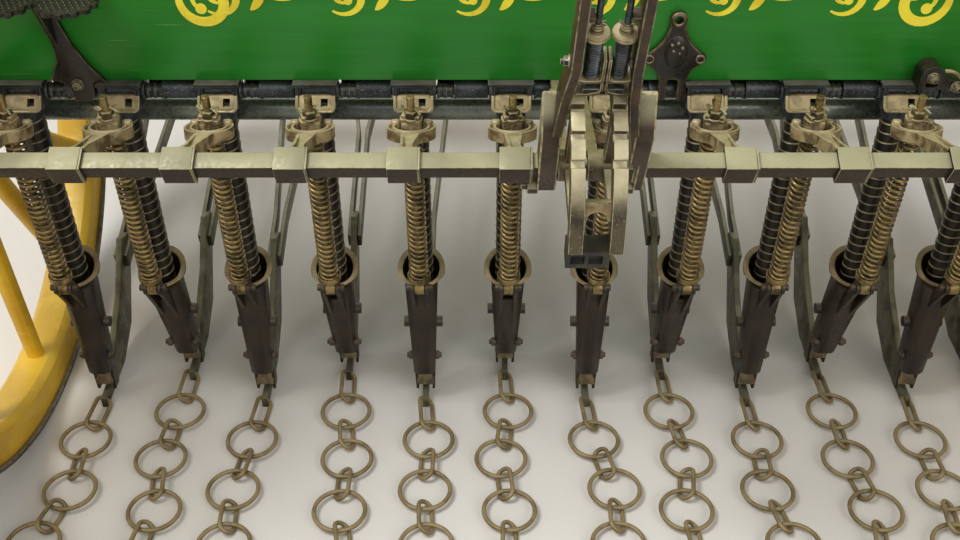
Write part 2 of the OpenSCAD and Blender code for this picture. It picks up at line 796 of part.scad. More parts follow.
module swivel(i) {
    on_rod(i) difference() {
        union() {
            translate([0, 0, rod_reach - 9]) cylinder(r = swivel_r, h = 18);
            translate([0, 0, rod_reach + 20]) cylinder(r = 15, h = 3);
            translate([0, 0, rod_reach + 9]) cylinder(r = rod_r + 3, h = 11);
        }
        translate([0, 0, rod_reach - 20]) cylinder(r = rod_r, h = 60);
    }
}

module spring(i) {
    on_rod(i) translate([0, 0, seat_above + 4]) difference() {
        cylinder(r = spring_r, h = rod_reach - 9 - seat_above - 4);
        translate([0, 0, -1]) cylinder(r = spring_r - spring_wire, h = rod_reach);
    }
}

module rods_left() { color(rust) for (i = side_rows(-1)) pressure_rod(i); }
module rods_right() { color(rust) for (i = side_rows(1)) pressure_rod(i); }
module swivels_left() { color(cast) for (i = side_rows(-1)) swivel(i); }
module swivels_right() { color(cast) for (i = side_rows(1)) swivel(i); }
module springs_left() { color(rust) for (i = side_rows(-1)) spring(i); }
module springs_right() { color(rust) for (i = side_rows(1)) spring(i); }

// Openers

boot_foot_z = 22;
boot_neck_z = funnel_z - 24;

// Side outline of a boot between its foot and its neck, set in by a wall
module boot_side(foot_y, inset) {
    polygon([[foot_y - 24 + inset, boot_foot_z - inset * 2], [foot_y + 24 - inset, boot_foot_z - inset * 2],
        [funnel_y + 30 - inset, boot_neck_z + inset * 2], [funnel_y - 30 + inset, boot_neck_z + inset * 2]]);
}

module boot_front(inset) {
    polygon([[-boot_foot_w / 2 + inset, boot_foot_z - inset * 2], [boot_foot_w / 2 - inset, boot_foot_z - inset * 2],
        [boot_top_w / 2 - inset, boot_neck_z + inset * 2], [-boot_top_w / 2 + inset, boot_neck_z + inset * 2]]);
}

module boot_body(foot_y, inset) {
    intersection() {
        side_plate(-60, 60) boot_side(foot_y, inset);
        end_plate(-200, 200) boot_front(inset);
    }
}

module boot(i) {
    foot_y = heel_y(i) + 12;
    ear_x = 9;
    translate([row_x(i), 0, 0]) {
        difference() {
            union() {
                boot_body(foot_y, 0);
                translate([0, funnel_y, boot_neck_z]) rotate_extrude() polygon([[22, -4],
                    [28, -4], [29, 0], [funnel_r, funnel_z - boot_neck_z],
                    [funnel_r - 3, funnel_z - boot_neck_z], [25.5, 0], [22, 0]]);
                // Ears that carry the pressure rod's pin
                for (s = [-1, 1]) side_plate(s * (ear_x + 3) - 3, s * (ear_x + 3) + 3) union() {
                    translate([pin_y, pin_z]) circle(r = 12);
                    polygon([[pin_y - 12, pin_z], [pin_y + 12, pin_z + 1], [funnel_y - 22, 262],
                        [funnel_y - 10, 212]]);
                }
                // Lug and bolt nubs on the sides
                translate([0, (foot_y + funnel_y) / 2, 150]) rod_x(10.5, -46, 0);
                translate([0, (foot_y + funnel_y) / 2 - 8, 96]) rod_x(7, -30, 30);
            }
            boot_body(foot_y, boot_wall);
            translate([0, funnel_y, boot_neck_z - 30]) cylinder(r = 25, h = 60);
            // Open heel at the back
            translate([-boot_foot_w, foot_y - 60, boot_foot_z - 1]) cube([2 * boot_foot_w, 52, 56]);
        }
        translate([0, pin_y, pin_z]) rod_x(6, -ear_x - 14, ear_x + 14);
    }
}

nose_reach = 250;

// Runner blade: flat under the heel, then curved up and forward to the drag bar
module runner(i) {
    heel = heel_y(i);
    translate([row_x(i), 0, 0]) side_plate(-blade_t / 2, blade_t / 2) difference() {
        polygon([[heel - 22, 0], [heel + 110, 0], [heel + 190, 34], [heel + nose_reach, 120],
            [heel + nose_reach + 34, 190], [heel + nose_reach - 10, 206], [heel + 170, 128],
            [heel + 60, 60], [heel + 37, boot_foot_z], [heel - 22, boot_foot_z]]);
        translate([heel - tail_hole - 0.5, ring_z]) circle(r = 7.8);
    }
}

// Two flat straps hold the blade's nose, run on together and part to the drag rod
module drag_bar(i) {
    fork = is_front(i) ? [540, 231] : [293, 185];
    slope = atan((drag_rod_z - fork[1]) / (drag_rod_y - fork[0]));
    reach = (drag_rod_y - fork[0]) / cos(slope);
    tail = (drag_rod_y - heel_y(i) - nose_reach + 22) / cos(slope) - reach;
    inner = blade_t / 2;
    translate([row_x(i), drag_rod_y, drag_rod_z]) rotate([slope, 0, 0]) difference() {
        union() {
            mirrored() translate([0, 0, -strap_h / 2]) linear_extrude(strap_h) polygon([
                [inner, -reach - tail], [inner + strap_t, -reach - tail], [inner + strap_t, -reach],
                [leg_spread + strap_t / 2, -12], [leg_spread - strap_t / 2, -12], [inner, -reach]]);
            mirrored() rod_x(16, leg_spread - 6, leg_spread + 6);
        }
        rod_x(drag_rod_r + run_gap, -row_pitch / 2, row_pitch / 2);
    }
}

// Cover chains

// A ring lying flat, its wire round
module chain_ring() {
    rotate_extrude() translate([ring_r, 0]) circle(r = chain_r);
}

// A long link along Y, tilted so that one side passes under the rings and one over
module chain_link(length) {
    straight = link_end(length) - link_half_w;
    rotate([0, link_tilt, 0]) for (s = [-1, 1]) {
        translate([s * link_half_w, 0, 0]) rod_y(chain_r, -straight, straight);
        rotate(90 - s * 90) translate([0, straight, 0]) rotate_extrude(angle = 180)
            translate([link_half_w, 0]) circle(r = chain_r);
    }
}

// The hook link is threaded through the hole in the runner's tail
module chain(i) {
    translate([row_x(i), heel_y(i) - tail_hole, ring_z]) rotate(chain_yaw[i]) {
        translate([0, -link_end(hook_len), 0]) chain_link(hook_len);
        for (k = [0 : ring_count - 1]) translate([0, -first_ring - k * ring_step, 0]) {
            chain_ring();
            if (k < ring_count - 1) translate([0, -ring_step / 2, 0]) chain_link(link_len);
        }
    }
}

module boots_left() { color(earth) for (i = side_rows(-1)) boot(i); }
module boots_right() { color(earth) for (i = side_rows(1)) boot(i); }
module runners_left() { color(steel) for (i = side_rows(-1)) runner(i); }
module runners_right() { color(steel) for (i = side_rows(1)) runner(i); }
module drag_bars_left() { color(earth) for (i = side_rows(-1)) drag_bar(i); }
module drag_bars_right() { color(earth) for (i = side_rows(1)) drag_bar(i); }
module chains_left() { color(rust) for (i = side_rows(-1)) chain(i); }
module chains_right() { color(rust) for (i = side_rows(1)) chain(i); }

placed() side_bars();
placed() front_sill();
placed() drag_rod();
placed() axle();
placed() axle_bearings();
placed() pole();
placed() pole_irons();
placed() box_rear_board();
placed() box_front_board();
placed() box_end_boards();
placed() box_floor();
placed() box_irons();
placed() hinge_pins();
placed() feed_cups();
placed() seed_tubes_left();
placed() seed_tubes_right();
placed() gear_case();
placed() shaft_bearings();
placed() lever_stand();
placed() step();
placed() spade_bracket();
placed() index_bracket();
placed() feed_shaft();
placed() lid_board();
placed() lid_hinges();
placed() tyre_left();
placed() wheel_wood_left();
placed() hub_irons_left();
placed() tyre_right();
placed() wheel_wood_right();
placed() hub_irons_right();
placed() rock_shaft(-1);  // rock_shaft_left
placed() lift_arms_left();
placed() lever_left();
placed() latch_left();
placed() rock_shaft(1);  // rock_shaft_right
placed() lift_arms_right();
placed() lever_right();
placed() latch_right();
placed() rods_left();
placed() swivels_left();
placed() springs_left();
placed() rods_right();
placed() swivels_right();
placed() springs_right();
placed() boots_left();
placed() runners_left();
placed() drag_bars_left();
placed() chains_left();
placed() boots_right();
placed() runners_right();
placed() drag_bars_right();
placed() chains_right();
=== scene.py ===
# Looks of a horse-drawn grain drill: finishes, springs, seed tubes, chains, fastenings and the studio.
import json
import math
from contextlib import contextmanager

import bmesh
import bpy
from bpy.props import FloatProperty, FloatVectorProperty, IntProperty, PointerProperty
from mathutils import Matrix, Vector

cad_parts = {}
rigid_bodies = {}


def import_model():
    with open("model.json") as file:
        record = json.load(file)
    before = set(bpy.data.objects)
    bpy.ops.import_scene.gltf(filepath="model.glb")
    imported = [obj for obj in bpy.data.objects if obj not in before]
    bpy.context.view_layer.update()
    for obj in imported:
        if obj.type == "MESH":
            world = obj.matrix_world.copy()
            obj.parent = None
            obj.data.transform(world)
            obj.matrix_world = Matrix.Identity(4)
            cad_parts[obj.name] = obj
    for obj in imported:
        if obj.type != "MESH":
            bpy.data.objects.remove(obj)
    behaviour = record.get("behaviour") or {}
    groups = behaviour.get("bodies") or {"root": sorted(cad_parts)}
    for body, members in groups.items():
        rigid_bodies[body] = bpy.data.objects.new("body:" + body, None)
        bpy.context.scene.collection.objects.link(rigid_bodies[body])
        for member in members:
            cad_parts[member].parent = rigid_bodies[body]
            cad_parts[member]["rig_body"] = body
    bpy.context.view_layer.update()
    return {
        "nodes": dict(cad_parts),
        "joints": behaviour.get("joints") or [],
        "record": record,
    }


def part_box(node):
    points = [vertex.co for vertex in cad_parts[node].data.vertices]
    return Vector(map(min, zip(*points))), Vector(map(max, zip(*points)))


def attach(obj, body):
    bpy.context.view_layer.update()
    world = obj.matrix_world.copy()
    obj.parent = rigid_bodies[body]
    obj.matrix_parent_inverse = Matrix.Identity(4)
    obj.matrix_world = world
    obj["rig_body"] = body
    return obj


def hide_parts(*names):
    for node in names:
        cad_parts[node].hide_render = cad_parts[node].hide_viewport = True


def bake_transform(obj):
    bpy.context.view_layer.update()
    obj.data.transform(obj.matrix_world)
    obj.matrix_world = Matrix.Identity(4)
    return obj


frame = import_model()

bl_info = {
    "name": "Grain Drill Dresser",
    "version": (1, 0, 0),
    "blender": (4, 5, 0),
    "location": "3D View > Sidebar > Grain Drill",
    "description": "Dresses the grain drill's solids with finishes, springs, tubes, chains and fastenings",
    "category": "Object",
}

MM = 0.001
JOINTS = {j["name"]: Vector(j["pos_m"]) for j in frame["joints"]}
AXLE = JOINTS["wheel_left_spin"]
ROCK = JOINTS["lift_left"]
PIN = JOINTS["rods_left"]
FEED = JOINTS["feed_spin"]
SLOTS = {p["node"]: p["material_slot"] for p in frame["record"]["subparts"]}
SIDES = {"left": -1, "right": 1}


def linear(text):
    """An sRGB hex colour as the linear values that sockets take."""
    parts = [int(text[k:k + 2], 16) / 255 for k in (1, 3, 5)]
    return [c / 12.92 if c <= 0.04045 else ((c + 0.055) / 1.055) ** 2.4 for c in parts]


def grain(size_mm):
    """The texture scale at which a pattern's features are about this many millimetres."""
    return 1 / (size_mm * MM)


# Sizes and colours that a user would change

def length(name, text, default_mm):
    return FloatProperty(name=name, description=text, default=default_mm * MM, min=0, precision=4,
                         subtype="DISTANCE", unit="LENGTH")


def shade(name, text, hex_colour):
    return FloatVectorProperty(name=name, description=text, default=linear(hex_colour), size=3,
                               min=0, max=1, subtype="COLOR")


class DrillSizes(bpy.types.PropertyGroup):
    """Sizes of what the scene adds to the solids."""
    row_count: IntProperty(name="Rows", description="Number of openers", default=12, min=2)
    row_pitch: length("Row pitch", "Distance between two neighbouring rows", 152.4)
    rear_heel: length("Rear heels", "Heels of the rear rank behind the axle", 49)
    front_heel: length("Front heels", "Heels of the front rank ahead of the axle", 25)
    arm_length: length("Arm length", "From the rock shaft to the pressure rod", 195)
    arm_slope: FloatProperty(name="Arm slope", description="Slope of the lift arms at rest",
                             default=math.radians(-14.5), subtype="ANGLE", unit="ROTATION")
    spring_radius: length("Spring radius", "Outer radius of a pressure spring", 16.5)
    spring_wire: length("Spring wire", "Diameter of the spring wire", 5.9)
    spring_pitch: length("Spring pitch", "Distance between two coils", 10.6)
    tube_radius: length("Tube radius", "Outer radius of a ribbon seed tube", 22)
    ribbon_pitch: length("Ribbon pitch", "Height of one turn of the tube's ribbon", 17.5)
    ribbon_step: length("Ribbon step", "How far one turn stands over the next", 1.6)
    chain_wire: length("Chain wire", "Diameter of the chain's wire", 8)
    ring_radius: length("Ring radius", "Radius of a ring to the middle of its wire", 44)
    link_length: length("Link length", "Length of a link over its ends", 74)
    hook_length: length("Hook length", "Length of the hook link over its ends", 88)
    link_half: length("Link half width", "Half a link's width to the middle of its wire", 13.9)


class DrillColours(bpy.types.PropertyGroup):
    """Main colours of the finishes."""
    green: shade("Green", "Enamel of the grain box", "#207e22")
    yellow: shade("Yellow", "Paint of the wheels, the pole and the ornament", "#e6b81c")
    black: shade("Black", "Japanned small castings", "#1b1711")
    cup: shade("Cup iron", "Feed cups and feed shaft", "#30343a")
    # The axle's grey is kept light, a painted light against the shadow that the box casts on it
    axle: shade("Axle", "Round steel of the axle", "#7d8476")
    # The shafts' dark brown is also a painted shade on their undersides
    shaft: shade("Shaft", "Worn paint of the rock shafts", "#2c1b06")
    arm: shade("Arms", "Pale cast iron of the lift arms", "#9c8a62")
    lever: shade("Levers", "Red-brown iron of the levers", "#453117")
    spring: shade("Springs", "Bare spring steel", "#8b7648")
    boot: shade("Boots", "Dark brown cast iron of the openers", "#2b2015")
    blade: shade("Blades", "Worn steel of the runners", "#67654c")
    chain: shade("Chains", "Rusty wire of the cover chains", "#8a7a55")
    tube: shade("Tubes", "Black ribbon steel of the seed tubes", "#211c14")


def sizes():
    return bpy.context.scene.drill_sizes


def colours():
    return bpy.context.scene.drill_colours


# Places that several pieces share

def row_x(i):
    return (i - (sizes().row_count - 1) / 2) * sizes().row_pitch


def is_front(i):
    return i % 2 == 1


def heel_y(i):
    return AXLE.y + (sizes().front_heel if is_front(i) else -sizes().rear_heel)


def side_rows(side):
    half = sizes().row_count // 2
    return range(half) if side == "left" else range(half, 2 * half)


def fork_point():
    s = sizes()
    return ROCK + Vector((0, math.cos(s.arm_slope), math.sin(s.arm_slope))) * s.arm_length


def rod_frame(i):
    """Matrix that stands on a row's pin with Z along its pressure rod."""
    along = fork_point() - PIN
    lean = math.atan2(-along.y, along.z)
    return Matrix.Translation((row_x(i), PIN.y, PIN.z)) @ Matrix.Rotation(lean, 4, "X")


# Meshes

class Parts:
    """Collects closed forms as one mesh."""

    def __init__(self):
        self.points = []
        self.faces = []

    def add(self, points, faces):
        start = len(self.points)
        self.points += [Vector(p) for p in points]
        self.faces += [[start + k for k in face] for face in faces]

    def tube(self, path, radius, sides):
        """A round wire along a path, closed at both ends."""
        path = [Vector(p) for p in path]
        last = len(path) - 1
        points = []
        side = None
        for k, p in enumerate(path):
            along = (path[min(k + 1, last)] - path[max(k - 1, 0)]).normalized()
            if side is None:
                side = along.orthogonal().normalized()
            side = (side - along * side.dot(along)).normalized()
            up = along.cross(side)
            for j in range(sides):
                a = 2 * math.pi * j / sides
                points.append(p + (side * math.cos(a) + up * math.sin(a)) * radius)
        faces = []
        for k in range(0, last * sides, sides):
            for j in range(sides):
                n = (j + 1) % sides
                faces.append([k + j, k + n, k + sides + n, k + sides + j])
        self.add(points, faces + [list(range(sides))[::-1], [last * sides + j for j in range(sides)]])

    def form(self):
        return raw(self.points, self.faces)


def placed(name, mesh):
    obj = bpy.data.objects.new(name, mesh)
    bpy.context.scene.collection.objects.link(obj)
    return obj


@contextmanager
def editing(mesh):
    """A BMesh of the mesh, written back at the end."""
    bm = bmesh.new()
    bm.from_mesh(mesh)
    yield bm
    bm.to_mesh(mesh)
    bm.free()


def prepared(mesh, finishes, merge):
    """Merges doubles and flat faces, and puts the first of the finishes on every face."""
    mesh.materials.clear()
    for finish in finishes:
        mesh.materials.append(FINISHES[finish])
    with editing(mesh) as bm:
        bmesh.ops.remove_doubles(bm, verts=bm.verts, dist=merge)
        bmesh.ops.dissolve_limit(bm, angle_limit=math.radians(0.4), verts=bm.verts, edges=bm.edges)
        for face in bm.faces:
            face.material_index = 0


def applied(obj):
    """The object with its modifiers turned into plain mesh."""
    graph = bpy.context.evaluated_depsgraph_get()
    mesh = bpy.data.meshes.new_from_object(obj.evaluated_get(graph))
    obj.modifiers.clear()
    old = obj.data
    obj.data = mesh
    bpy.data.meshes.remove(old)
    mesh.name = obj.name
    return obj


def rounded(obj, width, smooth=40, segments=2, edge_finish=-1):
    """Bevels the sharp edges and shades what is left smooth."""
    if width:
        bevel = obj.modifiers.new("rounding", "BEVEL")
        bevel.width = width
        bevel.segments = segments
        bevel.limit_method = "ANGLE"
        bevel.angle_limit = math.radians(38)
        bevel.material = edge_finish
        bevel.use_clamp_overlap = True
        applied(obj)
    obj.data.shade_smooth()
    obj.data.set_sharp_from_angle(angle=math.radians(smooth))
    return obj


def hand_over(obj, body, nodes=()):
    """Gives a finished piece its body and the solids it stands for."""
    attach(obj, body)
    if nodes:
        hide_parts(*nodes)


def dressed(node, finishes, width):
    """A rounded copy of a solid, its worn edges in the second finish, in the solid's place."""
    source = frame["nodes"][node]
    mesh = source.data.copy()
    prepared(mesh, finishes, 0.02 * MM)
    obj = rounded(placed(node + "_dressed", mesh), width, 35, 2, len(finishes) - 1)
    hand_over(obj, source["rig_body"], [node])


# Closed forms in the machine's own millimetres: the axle at Y 0 and the ground at Z 0

MACHINE = Matrix.Translation((0, AXLE.y, 0)) @ Matrix.Scale(MM, 4)
# The rock shaft's middle, and the frame of the levers, which lean to the rear
ROCK_AT = (-325, 708)
LEAN = Matrix.Translation((0, *ROCK_AT)) @ Matrix.Rotation(math.radians(26), 4, "X")
# How an outline of (u, v) and a depth w lie along each axis
LAY = {"X": lambda u, v, w: (w, u, v), "Y": lambda u, v, w: (u, w, v), "Z": lambda u, v, w: (u, v, w)}


def raw(points, faces):
    mesh = bpy.data.meshes.new("form")
    mesh.from_pydata(points, [], faces)
    with editing(mesh) as bm:
        bmesh.ops.remove_doubles(bm, verts=bm.verts, dist=1e-4)
        bmesh.ops.recalc_face_normals(bm, faces=bm.faces)
    return placed("form", mesh)


def prism(axis, outline, a, b):
    """Points and faces of an outline pushed along an axis from a to b."""
    n = len(outline)
    points = [LAY[axis](u, v, w) for w in (a, b) for u, v in outline]
    faces = [list(range(n)), list(range(n, 2 * n))]
    return points, faces + [[k, (k + 1) % n, n + (k + 1) % n, n + k] for k in range(n)]


def slab(axis, outline, a, b):
    return raw(*prism(axis, outline, a, b))


def arc(radius, start, stop, steps, centre=(0, 0)):
    """Points of an arc from start to stop in degrees."""
    angles = [math.radians(start + (stop - start) * k / steps) for k in range(steps + 1)]
    return [(centre[0] + radius * math.cos(a), centre[1] + radius * math.sin(a)) for a in angles]


def disc(radius, centre=(0, 0), sides=36):
    return arc(radius, 0, 360, sides, centre)[:-1]


def rod(axis, radius, a, b, centre=(0, 0), sides=28):
    return slab(axis, disc(radius, centre, sides), a, b)


def block(low, high):
    (x0, y0, z0), (x1, y1, z1) = low, high
    return slab("Z", [(x0, y0), (x1, y0), (x1, y1), (x0, y1)], z0, z1)


def spun(profile, start=0, stop=360, sides=40):
    """A closed outline of (radius, height) spun about Z, all round or through an arc."""
    whole = stop - start == 360
    rings = sides if whole else sides + 1
    n = len(profile)
    points = []
    for k in range(rings):
        a = math.radians(start + (stop - start) * k / sides)
        points += [(r * math.cos(a), r * math.sin(a), h) for r, h in profile]
    faces = []
    for k in range(sides):
        m = (k + 1) % rings
        faces += [[k * n + j, k * n + (j + 1) % n, m * n + (j + 1) % n, m * n + j] for j in range(n)]
    if not whole:
        faces += [list(range(n)), list(range((rings - 1) * n, rings * n))]
    return raw(points, faces)


def moved(form, *matrices):
    """The form after the matrices, the last one first."""
    whole = Matrix.Identity(4)
    for matrix in matrices:
        whole = whole @ matrix
    form.data.transform(whole)
    if whole.determinant() < 0:
        form.data.flip_normals()
    return form


def at(x=0, y=0, z=0):
    return Matrix.Translation((x, y, z))


def about(axis, degrees):
    return Matrix.Rotation(math.radians(degrees), 4, axis)


def combined(operation, base, *tools):
    """The union, difference or intersection of closed forms; the tools are used up."""
    for tool in tools:
        step = base.modifiers.new("step", "BOOLEAN")
        step.operation = operation
        step.solver = "EXACT"
        step.object = tool
    applied(base)
    for tool in tools:
        discard(tool)
    return base


def union(base, *tools):
    return combined("UNION", base, *tools)


def cut(base, *tools):
    return combined("DIFFERENCE", base, *tools)


def shared(base, *tools):
    return combined("INTERSECT", base, *tools)


def finished(form, finishes, width_mm, smooth=35, segments=2):
    """A form with its edges rounded and worn, still in millimetres."""
    prepared(form.data, finishes, 0.02)
    return rounded(form, width_mm, smooth, segments, len(finishes) - 1)


def discard(obj):
    mesh = obj.data
    bpy.data.objects.remove(obj)
    bpy.data.meshes.remove(mesh)


def gathered(name, forms):
    """Finished forms, each with its places, as one piece in metres."""
    mesh = bpy.data.meshes.new(name)
    finishes = []
    bm = bmesh.new()
    for form, places in forms:
        for finish in form.data.materials:
            if finish not in finishes:
                finishes.append(finish)
        slots = [finishes.index(f) for f in form.data.materials]
        for place in places:
            copy = form.data.copy()
            for polygon in copy.polygons:
                polygon.material_index = slots[polygon.material_index]
            copy.transform(MACHINE @ place)
            bm.from_mesh(copy)
            bpy.data.meshes.remove(copy)
        discard(form)
    bm.to_mesh(mesh)
    bm.free()
    for finish in finishes:
        mesh.materials.append(finish)
    return placed(name, mesh)


def cast(name, forms, body, node=None):
    """Makes one piece of forms, each with its finishes, rounding in mm and places. It stands for the node,
    where one is named."""
    rows = []
    for form, finishes, width_mm, places, *more in forms:
        rows.append((finished(form, finishes, width_mm, *more), places))
    hand_over(gathered(name, rows), body, [node] if node else ())


# Node trees

def give(tree, node, values):
    """Sets a node's sockets, as numbers or links."""
    for key, value in values.items():
        if isinstance(value, bpy.types.NodeSocket):
            tree.links.new(value, node.inputs[key])
        else:
            node.inputs[key].default_value = value


def add(tree, kind, values=None, out=None, **settings):
    """Adds a node with its settings and socket values, and gives one of its outputs, or the node."""
    node = tree.nodes.new(kind)
    for key, value in settings.items():
        setattr(node, key, value)
    give(tree, node, values or {})
    return node if out is None else node.outputs[out]


def rgba(colour):
    return (*(linear(colour) if isinstance(colour, str) else colour), 1)


def ranged(tree, value, low, high, to_low=0.0, to_high=1.0, kind="LINEAR"):
    values = {"Value": value, "From Min": low, "From Max": high, "To Min": to_low, "To Max": to_high}
    return add(tree, "ShaderNodeMapRange", values, 0, interpolation_type=kind)


def smooth(tree, value, low, high, most=1.0):
    """Runs smoothly from 0 at low to most at high."""
    return ranged(tree, value, low, high, 0.0, most, "SMOOTHSTEP")


def mixed(tree, colour, share, tone):
    """A colour with a share of a tone over it."""
    return add(tree, "ShaderNodeMix", {0: share, 6: colour, 7: rgba(tone)}, 2, data_type="RGBA")


def worked(tree, a, operation, b):
    return add(tree, "ShaderNodeMath", {0: a, 1: b}, 0, operation=operation)


def noise(tree, place, scale, detail, distortion=0.0):
    return add(tree, "ShaderNodeTexNoise",
               {"Vector": place, "Scale": scale, "Detail": detail, "Distortion": distortion}, 0)


def blank_material(name, roughness, metallic=0.0):
    material = bpy.data.materials.new(name)
    material.use_nodes = True
    tree = material.node_tree
    tree.nodes.clear()
    shader = add(tree, "ShaderNodeBsdfPrincipled", {"Roughness": roughness, "Metallic": metallic})
    add(tree, "ShaderNodeOutputMaterial", {"Surface": shader.outputs[0]})
    return material, tree, shader


def weathered(name, base, deep, pale, roughness, metallic, patch_mm, speck_mm, dust=None, dust_and_light_share=0.8,
              pits_mm=0.25, dusty=(0.25, 0.75), speck_share=0.4):
    """A worn surface: patches of deeper and paler tone, specks, and a paler tone on what faces up, which is
    dust and also a painted light on the lit tops.
    """
    material, tree, shader = blank_material(name, roughness, metallic)
    coords = add(tree, "ShaderNodeTexCoord").outputs
    patches = noise(tree, coords["Object"], grain(patch_mm), 5.0, 0.3)
    specks = noise(tree, coords["Object"], grain(speck_mm), 6.0)
    colour = mixed(tree, rgba(base), smooth(tree, patches, 0.42, 0.62), deep)
    colour = mixed(tree, colour, smooth(tree, specks, 0.54, 0.74, speck_share), pale)
    if dust:
        # Faces that look up turn paler: dust, and also a painted light on the tops
        up = add(tree, "ShaderNodeSeparateXYZ", {0: coords["Normal"]}, 2)
        uneven = ranged(tree, patches, 0.7, 0.35, 0.6, 1.0)
        share = worked(tree, smooth(tree, up, *dusty, dust_and_light_share), "MULTIPLY", uneven)
        colour = mixed(tree, colour, share, dust)
    rough = ranged(tree, specks, 0.3, 0.7, roughness - 0.12, roughness + 0.18)
    bump = add(tree, "ShaderNodeBump", {"Height": specks, "Distance": pits_mm * MM, "Strength": 0.6}, 0)
    give(tree, shader, {"Base Color": colour, "Roughness": rough, "Normal": bump})
    return material


def green_enamel():
    """Brushed gloss enamel on boards: almost even, with faint brush lines and a few short pale scratches."""
    material, tree, shader = blank_material("green_enamel", 0.34)
    place = add(tree, "ShaderNodeTexCoord", out="Object")
    wide = add(tree, "ShaderNodeMapping", {"Vector": place, "Scale": (1, 3, 14)}, 0)
    thin = add(tree, "ShaderNodeMapping", {"Vector": place, "Scale": (1, 5, 30),
                                           "Rotation": (0, math.radians(2.5), 0)}, 0)
    brush = noise(tree, wide, 7.0, 5.0)
    fade = noise(tree, place, grain(300), 3.0)
    scratch = smooth(tree, noise(tree, thin, 11.0, 2.0), 0.69, 0.73, 0.55)
    chip = smooth(tree, noise(tree, place, grain(7), 5.0, 0.5), 0.755, 0.77)
    colour = mixed(tree, rgba(colours().green), smooth(tree, brush, 0.3, 0.7), "#258727")
    colour = mixed(tree, colour, smooth(tree, fade, 0.42, 0.7), "#1d7420")
    colour = mixed(tree, colour, worked(tree, scratch, "MULTIPLY", smooth(tree, fade, 0.46, 0.6)), "#93a86a")
    colour = mixed(tree, colour, chip, "#3a3a20")
    bump = add(tree, "ShaderNodeBump", {"Height": brush, "Distance": 0.12 * MM, "Strength": 0.4}, 0)
    give(tree, shader, {"Base Color": colour, "Specular IOR Level": 0.35, "Normal": bump,
                        "Roughness": ranged(tree, brush, 0.0, 1.0, 0.26, 0.42)})
    return material


FINISHES = {}


